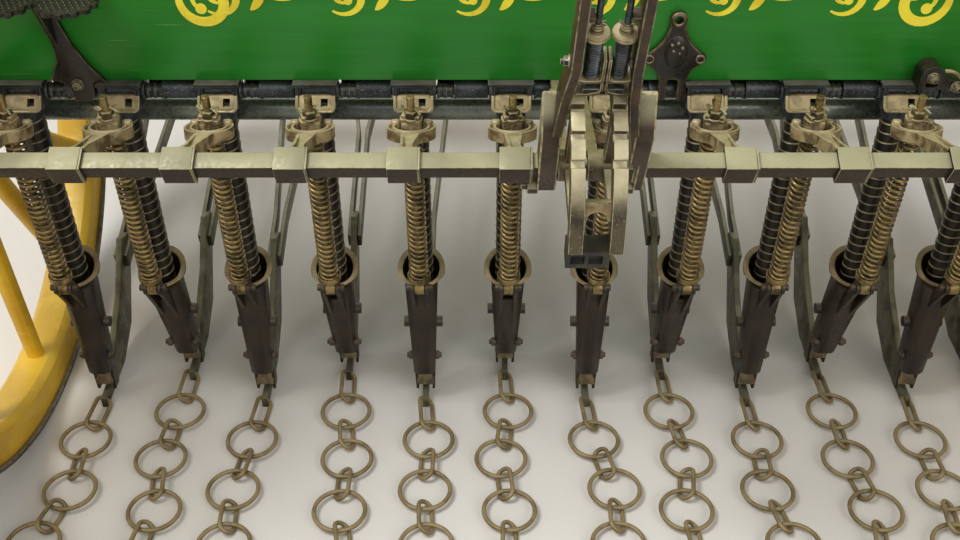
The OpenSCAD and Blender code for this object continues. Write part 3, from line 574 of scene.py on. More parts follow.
def make_finishes():
    """The finishes by slot or use: base, deep and pale tones, roughness and metal share, the sizes of patches
    and specks in mm, then the tone and share of the dust and painted light on its tops."""
    c = colours()

    def paint(key, *tones, name=None, **more):
        FINISHES[key] = weathered(name or key, *tones, **more)

    FINISHES["green_enamel"] = green_enamel()
    # Thick oil paint, brushed on wood: almost even, with faded patches
    paint("yellow_paint", c.yellow, "#cfa01c", "#eed25a", 0.42, 0.0, 120, 14, "#e6cf6e", 0.25, 0.3)
    paint("ornament", "#fdeb38", "#e8cf2a", "#fff37a", 0.4, 0.0, 60, 8, name="ornament_paint")
    # Black varnish, dipped: deep and glossy, brown on worn edges
    paint("black_paint", c.black, "#100d09", "#3c3426", 0.34, 0.1, 45, 5, "#5c523c", 0.3, name="black_japan")
    paint("brown_edge", "#5d4c33", "#3a2d1c", "#8b7a55", 0.42, 0.35, 12, 3)
    # Grey cast iron, oily and cool: the cups and the feed shaft with its speckled tubes
    paint("cup_iron", c.cup, "#1b1d20", "#565d62", 0.42, 0.35, 30, 4, "#7d7a66", 0.55)
    paint("cup_edge", "#6a6c60", "#474a44", "#9a9c8c", 0.38, 0.4, 20, 3)
    paint("speckled_iron", "#33383c", "#1d2023", "#8d9497", 0.4, 0.35, 30, 2.2, "#5b605c", 0.4,
          speck_share=0.75)
    # Cast iron rubbed by grain and dust: tan and satin
    paint("lip_iron", "#8d7c54", "#5f5134", "#c4b285", 0.5, 0.15, 20, 4, "#c3b184", 0.5)
    paint("arm_iron", c.arm, "#5b4a2c", "#cbbb90", 0.5, 0.2, 26, 4, "#d4c49a", 0.8)
    paint("pale_edge", "#b7ad86", "#7f7350", "#d9d0aa", 0.4, 0.3, 12, 3)
    # Rolled round steel, worn smooth: a soft sheen; its grey is kept light as a painted light against the
    # box's shadow, and its upper side is paler with grey dust and a painted light
    paint("axle_steel", c.axle, "#4e5550", "#989e94", 0.3, 0.5, 80, 6, "#a0a690", 0.7,
          dusty=(0.3, 0.9))
    # Old paint on square steel: dark brown below, which is also a painted shade on the undersides, and pale
    # on top with dust and a painted light
    paint("shaft_steel", c.shaft, "#231505", "#6d6347", 0.5, 0.1, 110, 6, "#b3ae88", 0.97,
          pits_mm=0.05, speck_share=0.15)
    paint("seam_edge", "#b1ac8a", "#8f8a68", "#d0cba8", 0.4, 0.3, 20, 3)
    # Forged iron, browned by hands and weather: dark, with bright worn edges
    paint("lever_iron", c.lever, "#291d12", "#5e4b33", 0.48, 0.2, 50, 5, "#7b6d4f", 0.3)
    paint("worn_edge", "#8f8a6e", "#5f5740", "#bdb692", 0.38, 0.5, 12, 3)
    paint("tie_iron", "#2f2a20", "#17140e", "#5e5540", 0.38, 0.2, 30, 4, "#5c523b", 0.4)
    # Cast iron whose faces that look up are cream and whose sides are brown: dust, and a painted light on the
    # lit tops
    paint("socket_iron", "#3f2d1d", "#2a1c11", "#6a5438", 0.42, 0.15, 40, 5, "#b3ac8b", 0.92,
          dusty=(-0.05, 0.16))
    paint("stand_iron", "#54492f", "#2b2216", "#a4956a", 0.46, 0.25, 26, 4, "#b5a67a", 0.7)
    # The quadrants' cream tops are dust and also a painted highlight
    paint("quadrant_iron", "#51462f", "#33291b", "#a8976c", 0.4, 0.15, 34, 4, "#d9cea6", 0.95,
          dusty=(0.15, 0.5))
    # Blued spring steel and turned fastenings: cool and bright
    paint("latch_steel", "#3f454c", "#24282c", "#7f878e", 0.35, 0.6, 16, 3, "#8e8c7c", 0.4)
    paint("fastening", "#4b463a", "#2c2519", "#8a8168", 0.4, 0.5, 8, 2, "#8c8365", 0.5,
          name="fastening_steel")
    # Drawn wire and rods, bare, with a film of rust: warm and glinting
    paint("rod_steel", c.spring, "#473818", "#dccda2", 0.34, 0.6, 26, 3, "#a8966a", 0.35)
    paint("chain_steel", c.chain, "#6a5836", "#b9a678", 0.5, 0.25, 30, 3, "#a89468", 0.5)
    # Cast iron of the openers, dark brown and polished by soil, with paler rims that are dusty and take a
    # painted light on top
    paint("boot_iron", c.boot, "#1a120a", "#5d4a2e", 0.42, 0.15, 45, 5, "#7d6b4a", 0.5)
    paint("rim_iron", "#6d5d3c", "#453822", "#b09b6c", 0.45, 0.2, 18, 3, "#a9946a", 0.75)
    # Flat rolled steel, scoured: grey-green and streaked with rust
    paint("blade_steel", c.blade, "#3b3222", "#918d70", 0.42, 0.5, 40, 5, "#8f8d70", 0.6)
    paint("bar_steel", "#656650", "#413c2c", "#9a9a7c", 0.42, 0.4, 60, 5, "#a3a488", 0.75)
    paint("tyre_steel", "#5a4c3a", "#3a2d1f", "#8f8266", 0.5, 0.5, 60, 6, "#9b8f74", 0.5)
    # Varnished steel ribbon, wound: black, with the varnish worn off along each lap
    paint("tube_steel", c.tube, "#120f0a", "#3f3726", 0.36, 0.4, 40, 5, "#4c4330", 0.5)
    paint("tube_line", "#6f6447", "#4c4330", "#948762", 0.4, 0.4, 30, 4)


# Rounded copies of the solids, each with the finish of its edges and the width of its rounding in mm
EDGES = {
    "green_enamel": ("green_enamel", 1.2), "yellow_paint": ("yellow_paint", 3.0),
    "black_paint": ("brown_edge", 1.2), "axle_steel": ("axle_steel", 1.0), "shaft_steel": ("pale_edge", 1.6),
    "boot_iron": ("brown_edge", 1.1), "blade_steel": ("worn_edge", 1.0), "tyre_steel": ("worn_edge", 2.0),
    "rod_steel": ("rod_steel", 0.6), "cup_iron": ("cup_iron", 0.8), "arm_iron": ("pale_edge", 1.8),
    "lever_iron": ("worn_edge", 1.2), "latch_steel": ("latch_steel", 0.8),
}
LEFT_TO_OTHERS = ("springs_", "seed_tubes_", "chains_", "lever", "latch_", "lift_arms_", "swivels_", "boots_",
                  "feed_", "step", "spade_bracket", "index_bracket")


def dress_solids():
    for node in sorted(frame["nodes"]):
        if not node.startswith(LEFT_TO_OTHERS):
            edge, width_mm = EDGES[SLOTS[node]]
            face = "bar_steel" if node.startswith("drag_bars_") else SLOTS[node]
            dressed(node, [face, edge], width_mm * MM)


# Geometry node trees for what repeats

def new_tree(name, numbers):
    """A tree whose named inputs are a geometry, the numbers and a finish, with the sockets that give them."""
    tree = bpy.data.node_groups.new(name, "GeometryNodeTree")
    for key, kind in (("Geometry", "Geometry"), *[(key, "Float") for key in numbers], ("Finish", "Material")):
        socket = tree.interface.new_socket(name=key, in_out="INPUT", socket_type="NodeSocket" + kind)
        if key in numbers:
            socket.default_value = numbers[key]
    tree.interface.new_socket(name="Geometry", in_out="OUTPUT", socket_type="NodeSocketGeometry")
    return tree, tree.nodes.new("NodeGroupInput").outputs


def wire_along(tree, line, wire, sides, capped=False):
    ring = add(tree, "GeometryNodeCurvePrimitiveCircle",
               {"Resolution": sides, "Radius": worked(tree, wire, "MULTIPLY", 0.5)}, 0)
    return add(tree, "GeometryNodeCurveToMesh",
               {"Curve": line, "Profile Curve": ring, "Fill Caps": capped}, 0)


def laid(tree, points, wire, wanted=True):
    """Copies of a wire on the wanted points, turned by the points' attribute."""
    turn = add(tree, "GeometryNodeInputNamedAttribute", {"Name": "turn"}, 0, data_type="FLOAT_VECTOR")
    return add(tree, "GeometryNodeInstanceOnPoints",
               {"Points": points, "Selection": wanted, "Instance": wire, "Rotation": turn}, 0)


def close_tree(tree, geometry, finish):
    """Ends a tree in Realize Instances and Set Material."""
    real = add(tree, "GeometryNodeRealizeInstances", {"Geometry": geometry}, 0)
    shaded = add(tree, "GeometryNodeSetShadeSmooth", {"Geometry": real}, 0)
    painted = add(tree, "GeometryNodeSetMaterial", {"Geometry": shaded, "Material": finish}, 0)
    add(tree, "NodeGroupOutput", {"Geometry": painted})
    return tree


def grown(name, tree, points, attributes, values):
    """Runs a tree on loose points that carry vector attributes and returns the plain mesh object."""
    mesh = bpy.data.meshes.new(name)
    mesh.from_pydata(points, [], [])
    for key, rows in attributes.items():
        attribute = mesh.attributes.new(key, "FLOAT_VECTOR", "POINT")
        attribute.data.foreach_set("vector", [v for row in rows for v in row])
    obj = placed(name, mesh)
    modifier = obj.modifiers.new("grow", "NODES")
    modifier.node_group = tree
    for item in tree.interface.items_tree:
        if item.in_out == "INPUT" and item.name in values:
            modifier[item.identifier] = values[item.name]
    return applied(obj)


def coil_tree():
    """A helical spring of round wire stands on each point."""
    tree, given = new_tree("coil_springs", {"Radius": 0.014, "Wire": 0.005, "Pitch": 0.01, "Height": 0.3})
    line = add(tree, "GeometryNodeCurveSpiral", {
        "Resolution": 20, "Rotations": worked(tree, given["Height"], "DIVIDE", given["Pitch"]),
        "Start Radius": given["Radius"], "End Radius": given["Radius"], "Height": given["Height"]}, 0)
    wire = wire_along(tree, line, given["Wire"], 9, True)
    return close_tree(tree, laid(tree, given["Geometry"], wire), given["Finish"])


def chain_tree():
    """Rings and long links of round wire lie on the points: kind 0 is a ring, 1 a link, 2 a hook link."""
    tree, given = new_tree("cover_chain", {"Wire": 0.006, "Ring Radius": 0.045, "Link Length": 0.074,
                                           "Hook Length": 0.088, "Half Width": 0.014})
    lines = [add(tree, "GeometryNodeCurvePrimitiveCircle",
                 {"Resolution": 44, "Radius": given["Ring Radius"]}, 0)]
    wide = worked(tree, given["Half Width"], "MULTIPLY", 2.0)
    corner = worked(tree, given["Half Width"], "MULTIPLY", 0.98)
    for name in ("Link Length", "Hook Length"):
        long = worked(tree, given[name], "SUBTRACT", given["Wire"])
        oblong = add(tree, "GeometryNodeCurvePrimitiveQuadrilateral", {"Width": wide, "Height": long}, 0)
        lines.append(add(tree, "GeometryNodeFilletCurve", {"Curve": oblong, "Radius": corner, "Count": 8}, 0,
                         mode="POLY"))
    kind = add(tree, "GeometryNodeInputNamedAttribute", {"Name": "kind"}, 0, data_type="FLOAT_VECTOR")
    number = add(tree, "ShaderNodeSeparateXYZ", {0: kind}, 0)
    joined = add(tree, "GeometryNodeJoinGeometry")
    for which, line in enumerate(lines):
        wanted = add(tree, "FunctionNodeCompare", {"A": number, "B": float(which), "Epsilon": 0.1}, 0,
                     data_type="FLOAT", operation="EQUAL")
        wire = wire_along(tree, line, given["Wire"], 10)
        tree.links.new(laid(tree, given["Geometry"], wire, wanted), joined.inputs[0])
    return close_tree(tree, joined.outputs[0], given["Finish"])


# Pieces

def coil_springs(side, tree):
    s = sizes()
    seat, above = 26 * MM, 9 * MM
    height = (fork_point() - PIN).length - above - seat - s.spring_wire
    places = [rod_frame(i) for i in side_rows(side)]
    points = [place @ Vector((0, 0, seat + s.spring_wire / 2)) for place in places]
    turns = [place.to_euler() for place in places]
    obj = grown("springs_" + side + "_coils", tree, points, {"turn": turns}, {
        "Radius": s.spring_radius - s.spring_wire / 2, "Wire": s.spring_wire, "Pitch": s.spring_pitch,
        "Height": height, "Finish": FINISHES["rod_steel"]})
    hand_over(obj, "rods_" + side, ["springs_" + side])


def ribbon_tube(foot, head, radius, pitch, step):
    """Points, faces and laps of a spirally wound ribbon: each turn laps over the next with a small step."""
    reach = (head - foot).length
    turn = (head - foot).to_track_quat("Z", "Y").to_matrix()
    sides = 28
    ribbon = ((0.0, radius - step), (0.3, radius - step * 0.6), (0.6, radius - step * 0.25), (0.89, radius))
    rows = [(k + rise, r) for k in range(-1, int(reach / pitch) + 2) for rise, r in ribbon]
    points = []
    for low, r in rows:
        for j in range(sides + 1):
            a = 2 * math.pi * j / sides
            z = min(max((low + j / sides) * pitch, 0.0), reach)
            points.append(foot + turn @ Vector((r * math.cos(a), r * math.sin(a), z)))
    faces = []
    laps = []
    for k in range(len(rows) - 1):
        for a in range(k * (sides + 1), k * (sides + 1) + sides):
            faces.append([a, a + 1, a + sides + 2, a + sides + 1])
            laps.append(int(k % len(ribbon) == len(ribbon) - 1))
    return points, faces, laps


def seed_tubes(side):
    s = sizes()
    node = "seed_tubes_" + side
    low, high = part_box(node)
    # Each tube runs from its cup's throat, behind the feed shaft, to just inside its funnel
    behind, inside = 17 * MM, 2 * MM
    parts = Parts()
    marks = []
    for i in side_rows(side):
        head = Vector((row_x(i), FEED.y - behind, high.z))
        foot = Vector((row_x(i), AXLE.y + FUNNEL_Y * MM, low.z + inside))
        points, faces, laps = ribbon_tube(foot, head, s.tube_radius, s.ribbon_pitch, s.ribbon_step)
        parts.add(points, faces)
        marks += laps
    mesh = bpy.data.meshes.new(node + "_ribbon")
    mesh.from_pydata(parts.points, [], parts.faces)
    for finish in ("tube_steel", "tube_line"):
        mesh.materials.append(FINISHES[finish])
    mesh.polygons.foreach_set("material_index", marks)
    with editing(mesh) as bm:
        bmesh.ops.remove_doubles(bm, verts=bm.verts, dist=5e-6)
        bmesh.ops.dissolve_degenerate(bm, dist=5e-6, edges=bm.edges)
        bmesh.ops.holes_fill(bm, edges=[e for e in bm.edges if e.is_boundary], sides=0)
        bmesh.ops.recalc_face_normals(bm, faces=bm.faces)
    obj = rounded(placed(node + "_ribbon", mesh), 0, 30)
    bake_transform(obj)
    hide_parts(node)


# The wire of the chains is thicker than the solids' 6.4 mm, as coarse as it needs to be to show.
# How the chains lie in the photo: the turn of each row's chain, and the sway of its links, in degrees
CHAIN_YAW = (-5, -2, -5, 2, 5, 2, 4, 1, 1, 2, -2, 2)
CHAIN_SWAY = (7, -9, 4, -3, 9, -6, -2)


def cover_chains(side, tree):
    """Hook link, ring and then links and rings in turn, each link through its two rings without touching."""
    s = sizes()
    clear = 0.4 * MM
    tilt = math.asin((s.chain_wire + clear) / s.link_half)
    ring_z = s.chain_wire * 1.5 + clear
    link_end, hook_end = s.link_length / 2 - s.chain_wire / 2, s.hook_length / 2 - s.chain_wire / 2
    hold = s.link_half + 2.5 * MM
    behind = 12 * MM
    ring_step = 2 * s.ring_radius + 2 * (link_end - hold)
    points = []
    turns = []
    kinds = []

    def lay(point, turn, kind):
        points.append(point)
        turns.append(turn.to_euler())
        kinds.append((kind, 0, 0))

    for i in side_rows(side):
        yaw = math.radians(CHAIN_YAW[i])
        base = Matrix.Translation((row_x(i), heel_y(i) - behind, ring_z)) @ Matrix.Rotation(yaw, 4, "Z")
        lay(base @ Vector((0, -hook_end, 0)), base @ Matrix.Rotation(tilt, 4, "Y"), 2)
        ring = base @ Vector((0, hold - 2 * hook_end - s.ring_radius, 0))
        lay(ring, base, 0)
        for k in range(4):
            way = Matrix.Rotation(yaw + math.radians(CHAIN_SWAY[(k + 3 * i) % len(CHAIN_SWAY)]), 4, "Z")
            stride = way @ Vector((0, -ring_step, 0))
            lay(ring + stride / 2, way @ Matrix.Rotation(tilt if (k + i) % 2 else -tilt, 4, "Y"), 1)
            ring = ring + stride
            lay(ring, base, 0)
    obj = grown("chains_" + side + "_wire", tree, points, {"turn": turns, "kind": kinds}, {
        "Wire": s.chain_wire, "Ring Radius": s.ring_radius, "Link Length": s.link_length,
        "Hook Length": s.hook_length, "Half Width": s.link_half, "Finish": FINISHES["chain_steel"]})
    hand_over(obj, "gang_" + side, ["chains_" + side])


# Castings

def side_outline_sector(start, stop, radius):
    """A sector about the rock shaft, its angles taken from the vertical towards the rear."""
    return [(0, 0)] + arc(radius, 90 + start, 90 + stop, 12)


# Pairs of finishes: the faces, then the worn edges
ARM = ["arm_iron", "pale_edge"]
BLACK = ["black_paint", "brown_edge"]
BOOT = ["boot_iron", "brown_edge"]
CUP = ["cup_iron", "cup_edge"]
FASTENING = ["fastening", "pale_edge"]
LEVER = ["lever_iron", "worn_edge"]
LIP = ["lip_iron", "pale_edge"]
SOCKET = ["socket_iron", "pale_edge"]
STAND = ["stand_iron", "pale_edge"]

# A lever bar's middle line as (height, x) above the rock shaft, its socket's middle and inner face, and the
# latch rod's x with the side on which it stands
LEVER_LINES = {"left": [(24, -32), (174, -20.8), (235, -12), (620, -9)],
               "right": [(24, 84), (100, 72), (174, 63.8), (235, 61), (620, 60)]}
SOCKETS = {"left": (-34, -47), "right": (86, 85)}
RODS_AT = {"left": (8, -1), "right": (41, 1)}
QUADRANT = 170


def lever(side):
    """A hand lever: a socket with a sloping top clamped on the rock shaft, and a leaning flat bar."""
    line = LEVER_LINES[side]
    middle, low = SOCKETS[side]
    clamp = (-9, -38)
    top, top_x = line[-1]
    band = [(x - 6.5, z) for z, x in line] + [(x + 6.5, z) for z, x in reversed(line)]
    flat = shared(slab("X", [(-19, 20), (19, 20), (19, 200), (13, 740), (-13, 740), (-19, 200)], -150, 200),
                  slab("Y", band, -21, 21))
    socket = cut(slab("X", [(-21, -32), (-12, -46), (12, -46), (21, -32), (21, 146), (16, 146), (-21, 97)],
                      middle - 13, middle + 13),
                 block((middle - 26, -42, -60), (low, 42, 30)))
    boss = rod("X", 12, low - 13, low + 2, clamp)
    bolt = union(slab("X", disc(7.5, clamp, 6), low - 21, low - 12), rod("X", 4, low - 26, low - 20, clamp))
    nut = union(rod("X", 8.5, -2, 0), slab("X", disc(7, sides=6), -8, -1.5), rod("X", 3.6, -12, -7))
    grip = spun([(0, 0), (9, 0), (12, 8), (11, 30), (13.5, 62), (12, 100), (9, 112), (13, 122), (14, 130),
                 (11, 139), (0, 142)], sides=28)
    cast("lever_" + side + "_cast", [
        (flat, LEVER, 1.6, [LEAN]),
        (socket, SOCKET, 2.4, [LEAN]),
        (boss, SOCKET, 1.2, [LEAN]),
        (bolt, FASTENING, 0.7, [LEAN]),
        (nut, ["latch_steel", "pale_edge"], 0.7,
         [LEAN @ at(x - 6.5, 0, z) for x, z in ((line[-2][1], 235), (top_x + 0.6, 420))]),
        (grip, ["lever_iron"], 0, [LEAN @ at(top_x, 0, top - 18)]),
    ], "lift_" + side, "lever_" + side)


def helix(radius, wire, pitch, height):
    """A round wire wound about Z."""
    coil = Parts()
    steps = 18
    count = int(height / pitch * steps)
    turns = [2 * math.pi * k / steps for k in range(count + 1)]
    coil.tube([(radius * math.cos(a), radius * math.sin(a), pitch * k / steps) for k, a in enumerate(turns)],
              wire / 2, 8)
    return coil.form()


def latch(side):
    """A latch rod beside its lever: dog, coil spring in its cage, cap, collar, guide and thumb piece."""
    where, s = RODS_AT[side]
    top, top_x = LEVER_LINES[side][-1]
    dog = QUADRANT + 5.5
    here = LEAN @ at(where, 0, 0)
    spread = sorted((-s * 13, s * 9))
    tooth = [(-9, dog + 3), (-4, dog), (4, dog), (9, dog + 3), (9, dog + 16), (-9, dog + 16)]
    dog_form = shared(block((spread[0], -9, dog), (spread[1], 9, dog + 15)), slab("X", tooth, -20, 20))
    foot = [(-14, 8), (-14, 3), (-9, 0), (12, 0), (15.5, 4), (15.5, 46), (11.5, 46), (11.5, 8), (8, 5),
            (-8, 5)]
    cage = slab("Y", [(-s * x, z + QUADRANT + 34) for x, z in foot], -11, 11)
    heel = [(15.5, 2), (15.5, 16), (12, 18), (12, 4), (9, -1), (-2, -5), (-17, -5), (-17, -9), (0, -9),
            (11, -5)]
    wing = slab("Y", [(-s * x, z + QUADRANT + 16) for x, z in heel], -10, 10)
    cap = spun([(0, 0), (14, 0), (16, 1.5), (16, 4.5), (14.5, 6), (8, 7), (7, 10), (7.5, 11), (7.5, 16),
                (5, 18), (4.4, 22), (0, 22)], sides=32)
    reach = sorted((where + s * 4, top_x + s * 6.8))
    guide = block((reach[0], -8, 0), (reach[1], 8, 8))
    thumb = slab("X", [(-34, top - 20), (-30, top - 26), (9, top - 26), (9, top - 18), (-28, top - 18),
                       (-33, top - 14)], where - 8, where + 8)
    pin = Parts()
    pin.tube([(-9, -1.4, 3), (-4, -1.2, 0), (4, -1.2, 0), (8, -4, 1)], 1.2, 6)
    pin.tube([(-9, 1.4, 3), (-4, 1.2, 0), (4, 1.2, 0), (9, 4, -2)], 1.2, 6)
    cast("latch_" + side + "_spring", [
        (dog_form, ["latch_steel", "worn_edge"], 1, [here]),
        (rod("Z", 4, dog + 13, top - 19, sides=16), ["latch_steel"], 0, [here]),
        (helix(8.6, 3.2, 4.4, 74), ["latch_steel"], 0, [here @ at(0, 0, QUADRANT + 40)]),
        (cage, STAND, 1.1, [here]),
        (wing, STAND, 1.1, [here]),
        (cap, ARM, 0.7, [here @ at(0, 0, QUADRANT + 115)]),
        (pin.form(), ["arm_iron"], 0, [here @ at(0, 0, QUADRANT + 136)]),
        (guide, LEVER, 0.8, [LEAN @ at(0, 0, z) for z in (QUADRANT + 146, top - 26)]),
        (thumb, LEVER, 1.2, [LEAN]),
    ], "lift_" + side, "latch_" + side)


def quadrant():
    """A notched quadrant's outline about the rock shaft, 18 mm thick from X 0."""
    inner = QUADRANT - 30
    rim = cut(slab("X", disc(QUADRANT, sides=96), 0, 18), slab("X", disc(inner, sides=72), -5, 25))
    rim = shared(rim, slab("X", side_outline_sector(18, 99, 2 * QUADRANT), -4, 22))
    notches = [moved(block((-5, -5, QUADRANT - 14), (23, 5, QUADRANT + 6)), about("X", a))
               for a in (33, 45, 57)]
    rim = cut(rim, *notches)
    spokes = [moved(block((3, -9, 16), (15, 9, inner + 4)), about("X", a)) for a in (28, 96)]
    return union(rim, *spokes)


def lever_stand():
    """The levers' stand: two hubs on the rock shaft, hangers, notched quadrants, tie and arched web."""
    left, right = (-20, 4), (20, 56)
    hub = at(0, *ROCK_AT)
    forms = [(quadrant(), ["quadrant_iron", "pale_edge"], 1.6,
              [hub @ at(x1 - 18) for x0, x1 in (left, right)])]
    for x0, x1 in (left, right):
        hanger = slab("X", [(10, -14), (215, -40), (215, -8), (10, 14)], x0, x0 + 16)
        forms += [(rod("X", 22, x0, x1, sides=40), STAND, 1.5, [hub]), (hanger, STAND, 1.5, [hub])]
    low, high = left[1] - 20, right[1] - 16
    tie = moved(cut(block((low, -16, QUADRANT - 33), (high, 16, QUADRANT - 4)),
                    *[block((x, -8, QUADRANT - 40), (x + 18, 8, QUADRANT + 10)) for x in (-10, 13)]),
                about("X", 104))
    web = moved(cut(block((left[1] - 2, -12, QUADRANT - 29), (high, 14, QUADRANT - 15)),
                    rod("Z", 13, 0, QUADRANT, (21, -12))), about("X", 80))
    rear = ROCK_AT[0] + 213
    plate = block((left[0], rear, 664), (right[0] + 16, rear + 12, 702))
    stem = cut(slab("X", [(rear + 10, 664), (-30, 640), (-26, 590), (26, 590), (26, 690), (rear + 10, 690)],
                    -16, 16),
               rod("X", 19, -40, 40, (0, 610)))
    cast("lever_stand_cast", forms + [
        (tie, ["tie_iron", "worn_edge"], 1.5, [hub]),
        (web, ARM, 1.5, [hub]),
        (plate, ["stand_iron", "worn_edge"], 1.5, [at()]),
        (stem, ["stand_iron", "worn_edge"], 1.5, [at()]),
    ], "root", "lever_stand")


# The lift arms at rest, and the sizes of their forks
ARM_AT = at(0, *ROCK_AT) @ about("X", -14.5)
ARM_REACH = 195
FORK = {"outer": 37, "bore": 25, "thick": 17, "set": 11, "drop": 7}


def lift_arm_form():
    """The waisted channel arm with its grooved fork ring and horns."""
    r, b, t = FORK["outer"], FORK["bore"], FORK["thick"]
    ring_at = ARM_REACH - FORK["set"]
    neck_end = ring_at - r + 5
    low = -t / 2 - FORK["drop"]
    plan = [(-16, 6), (15, 6), (8, 66), (14, neck_end), (-14, neck_end), (-9, 66)]
    neck = shared(slab("X", [(8, -15), (neck_end, low + 1), (neck_end, low + t - 1), (8, 15)], -20, 20),
                  slab("Z", plan, -20, 20))
    channel = [(-5, 34), (4.5, 34), (4, 66), (9, neck_end - 4), (-9, neck_end - 4), (-5, 66)]
    neck = cut(neck, slab("Z", channel, 2, 30))
    ring = spun([(b, 0), (r, 0), (r, t), (r - 3, t), (r - 4.5, t - 6), (b + 4.5, t - 6), (b + 3, t), (b, t)],
                142, 398, 44)
    horns = [moved(spun([(0, 0), (7.5, 0), (8, 2), (8, t + 1), (6, t + 4), (0, t + 5)], sides=20),
                   about("Z", a), at((r + b) / 2)) for a in (38, 142)]
    return union(neck, moved(union(ring, *horns), at(0, ring_at, low)))


def sleeve_form(x0, x1):
    """A sleeve with its seam, clamped round the square shaft."""
    seam = (x1 - 3.2, x1 - 2.2)
    return cut(block((x0, -18, -18), (x1, 18, 18)), block((seam[0], -19, -19), (seam[1], -16.8, 19)),
               block((seam[0], -19, 16.8), (seam[1], 19, 19)))


def lift_arms(side):
    mm = [row_x(i) / MM for i in side_rows(side)]
    forms = [(lift_arm_form(), ARM, 1.7, [at(x) @ ARM_AT for x in mm], 40)]
    # The sleeve that stands next to the right lever's socket is short
    short = [x for x in mm if 0 < x < SOCKETS["right"][0]]
    for x0, x1, group in ((-22.5, 22.5, [x for x in mm if x not in short]), (-18.7, 8.8, short)):
        if group:
            forms.append((sleeve_form(x0, x1), ["shaft_steel", "seam_edge"], 1.3,
                          [at(x, *ROCK_AT) @ about("X", 25) for x in group]))
    cast("lift_arms_" + side + "_cast", forms, "lift_" + side, "lift_arms_" + side)


def rod_place(i):
    """The rod frame of a row, in the machine's millimetres."""
    return MACHINE.inverted() @ rod_frame(i) @ Matrix.Scale(MM, 4)


def swivels(side):
    """Each rod's swivel block in its fork: two lumps with a slot, a hexagon nut and a cotter."""
    reach = (fork_point() - PIN).length / MM
    barrel = spun([(0, -9), (8, -9), (9, -7), (9, 9), (0, 9)], sides=28)
    lumps = [moved(spun([(0, 0), (8.4, 0), (9, 2), (9, 8), (7, 10), (0, 10)], sides=24), at(s * 5, 0, 1),
                   about("Y", s * 90)) for s in (-1, 1)]
    plan = [(-15, -9), (15, -9), (17, -4), (17, 4), (15, 9), (-15, 9), (-17, 4), (-17, -4)]
    cradle = cut(union(slab("Z", plan, 9, 13.5), block((-14, -8, 13), (-7.2, 8, 20)),
                       block((7.2, -8, 13), (14, 8, 20))),
                 rod("Z", 6, 0, 40))
    washer = spun([(0, 13.5), (12.5, 13.5), (12.5, 15), (11.5, 15.8), (0, 15.8)], sides=28)
    nut = shared(slab("Z", disc(11, sides=6), 15.8, 27),
                 spun([(0, 15), (12, 15), (12, 24.5), (9, 28), (0, 28)], sides=28))
    cotter = Parts()
    for s in (-1, 1):
        leg = [(-12, s * 3.6, 33), (-8, s * 1.6, 31), (8, s * 1.6, 31), (16, s * 6, 28 + 2 * s)]
        cotter.tube(leg, 1.7, 6)
    cotter.tube([(-12, 3.6, 33), (-15, 0, 34), (-12, -3.6, 33)], 1.7, 6)
    places = [rod_place(i) @ at(0, 0, reach) for i in side_rows(side)]
    turns = [p @ about("Z", turn) for p, turn in zip(places, NUT_TURN[::-1 if side == "left" else 1])]
    cast("swivels_" + side + "_nuts", [
        (union(barrel, *lumps), ARM, 0.8, places),
        (cradle, ARM, 1.1, turns),
        (washer, ["lip_iron"], 0, places),
        (nut, STAND, 0.8, turns),
        (cotter.form(), ["pale_edge"], 0, turns),
    ], "rods_" + side, "swivels_" + side)


# How far each nut of a side stands turned, in degrees, as the nuts of a used machine do
NUT_TURN = (8, -14, 21, -6, 15, -20)
# The feed shaft's middle and its right end, the box's underside, the rear board's face and half a cup's width
FEED_AT = (-38, 664)
FEED_END = 883
BOX_LOW = 690
BOARD_Y = -53
CUP_HALF = 35


def rows_mm():
    return [row_x(i) / MM for i in range(sizes().row_count)]


def feed_cups():
    """Feed cups under the box: flange, recessed housing with cheeks, throat and a tan sloping lip."""
    y, z = FEED_AT
    back = y - 30
    body = union(block((-CUP_HALF, back, BOX_LOW - 5), (CUP_HALF, y + 40, BOX_LOW)),
                 block((-27, back + 4, z - 12), (27, y + 24, BOX_LOW - 4)),
                 *[block((x - 2.5, back, z - 16), (x + 2.5, y + 26, BOX_LOW - 4)) for x in (-28.5, 28.5)],
                 rod("X", 14, -CUP_HALF + 1, CUP_HALF - 1, FEED_AT),
                 rod("Z", 23.5, z - 34, z - 10, (0, y - 17), 36))
    body = cut(body, block((-23, back - 1, z + 1), (23, back + 14, BOX_LOW - 9)),
               rod("X", 8.4, -60, 60, FEED_AT))
    wheel = rod("X", 9.5, -22, 22, (y - 12, z + 7), 14)
    corner = [*arc(7, 180, 270, 6, (-22, z - 7)), *arc(7, 270, 360, 6, (22, z - 7)), (29, z + 30),
              (-29, z + 30)]
    lip = shared(slab("X", [(y - 28, z + 6), (y - 22, z + 6), (y - 38, z - 14), (y - 43, z - 14)], -29, 29),
                 slab("Y", corner, y - 60, y))
    hem = shared(slab("X", [(y - 32, z + 7), (y - 27, z + 7), (y - 42, z - 15), (y - 47, z - 15)], -31, 31),
                 slab("Y", [(x * 1.07, h - 0.5) for x, h in corner], y - 60, y))
    hem = cut(hem, slab("Y", [(x * 0.93, h + 1.8) for x, h in corner], y - 70, y + 10))
    body, lip = [cut(form, block((8, y - 70, z - 9), (19, y - 10, z + 2))) for form in (body, lip)]
    places = [at(x) for x in rows_mm()]
    cast("feed_cups_cast", [
        (body, CUP, 0.9, places),
        (wheel, ["speckled_iron"], 0, places),
        (lip, LIP, 1.0, places),
        (hem, LIP, 0.8, places),
    ], "root", "feed_cups")


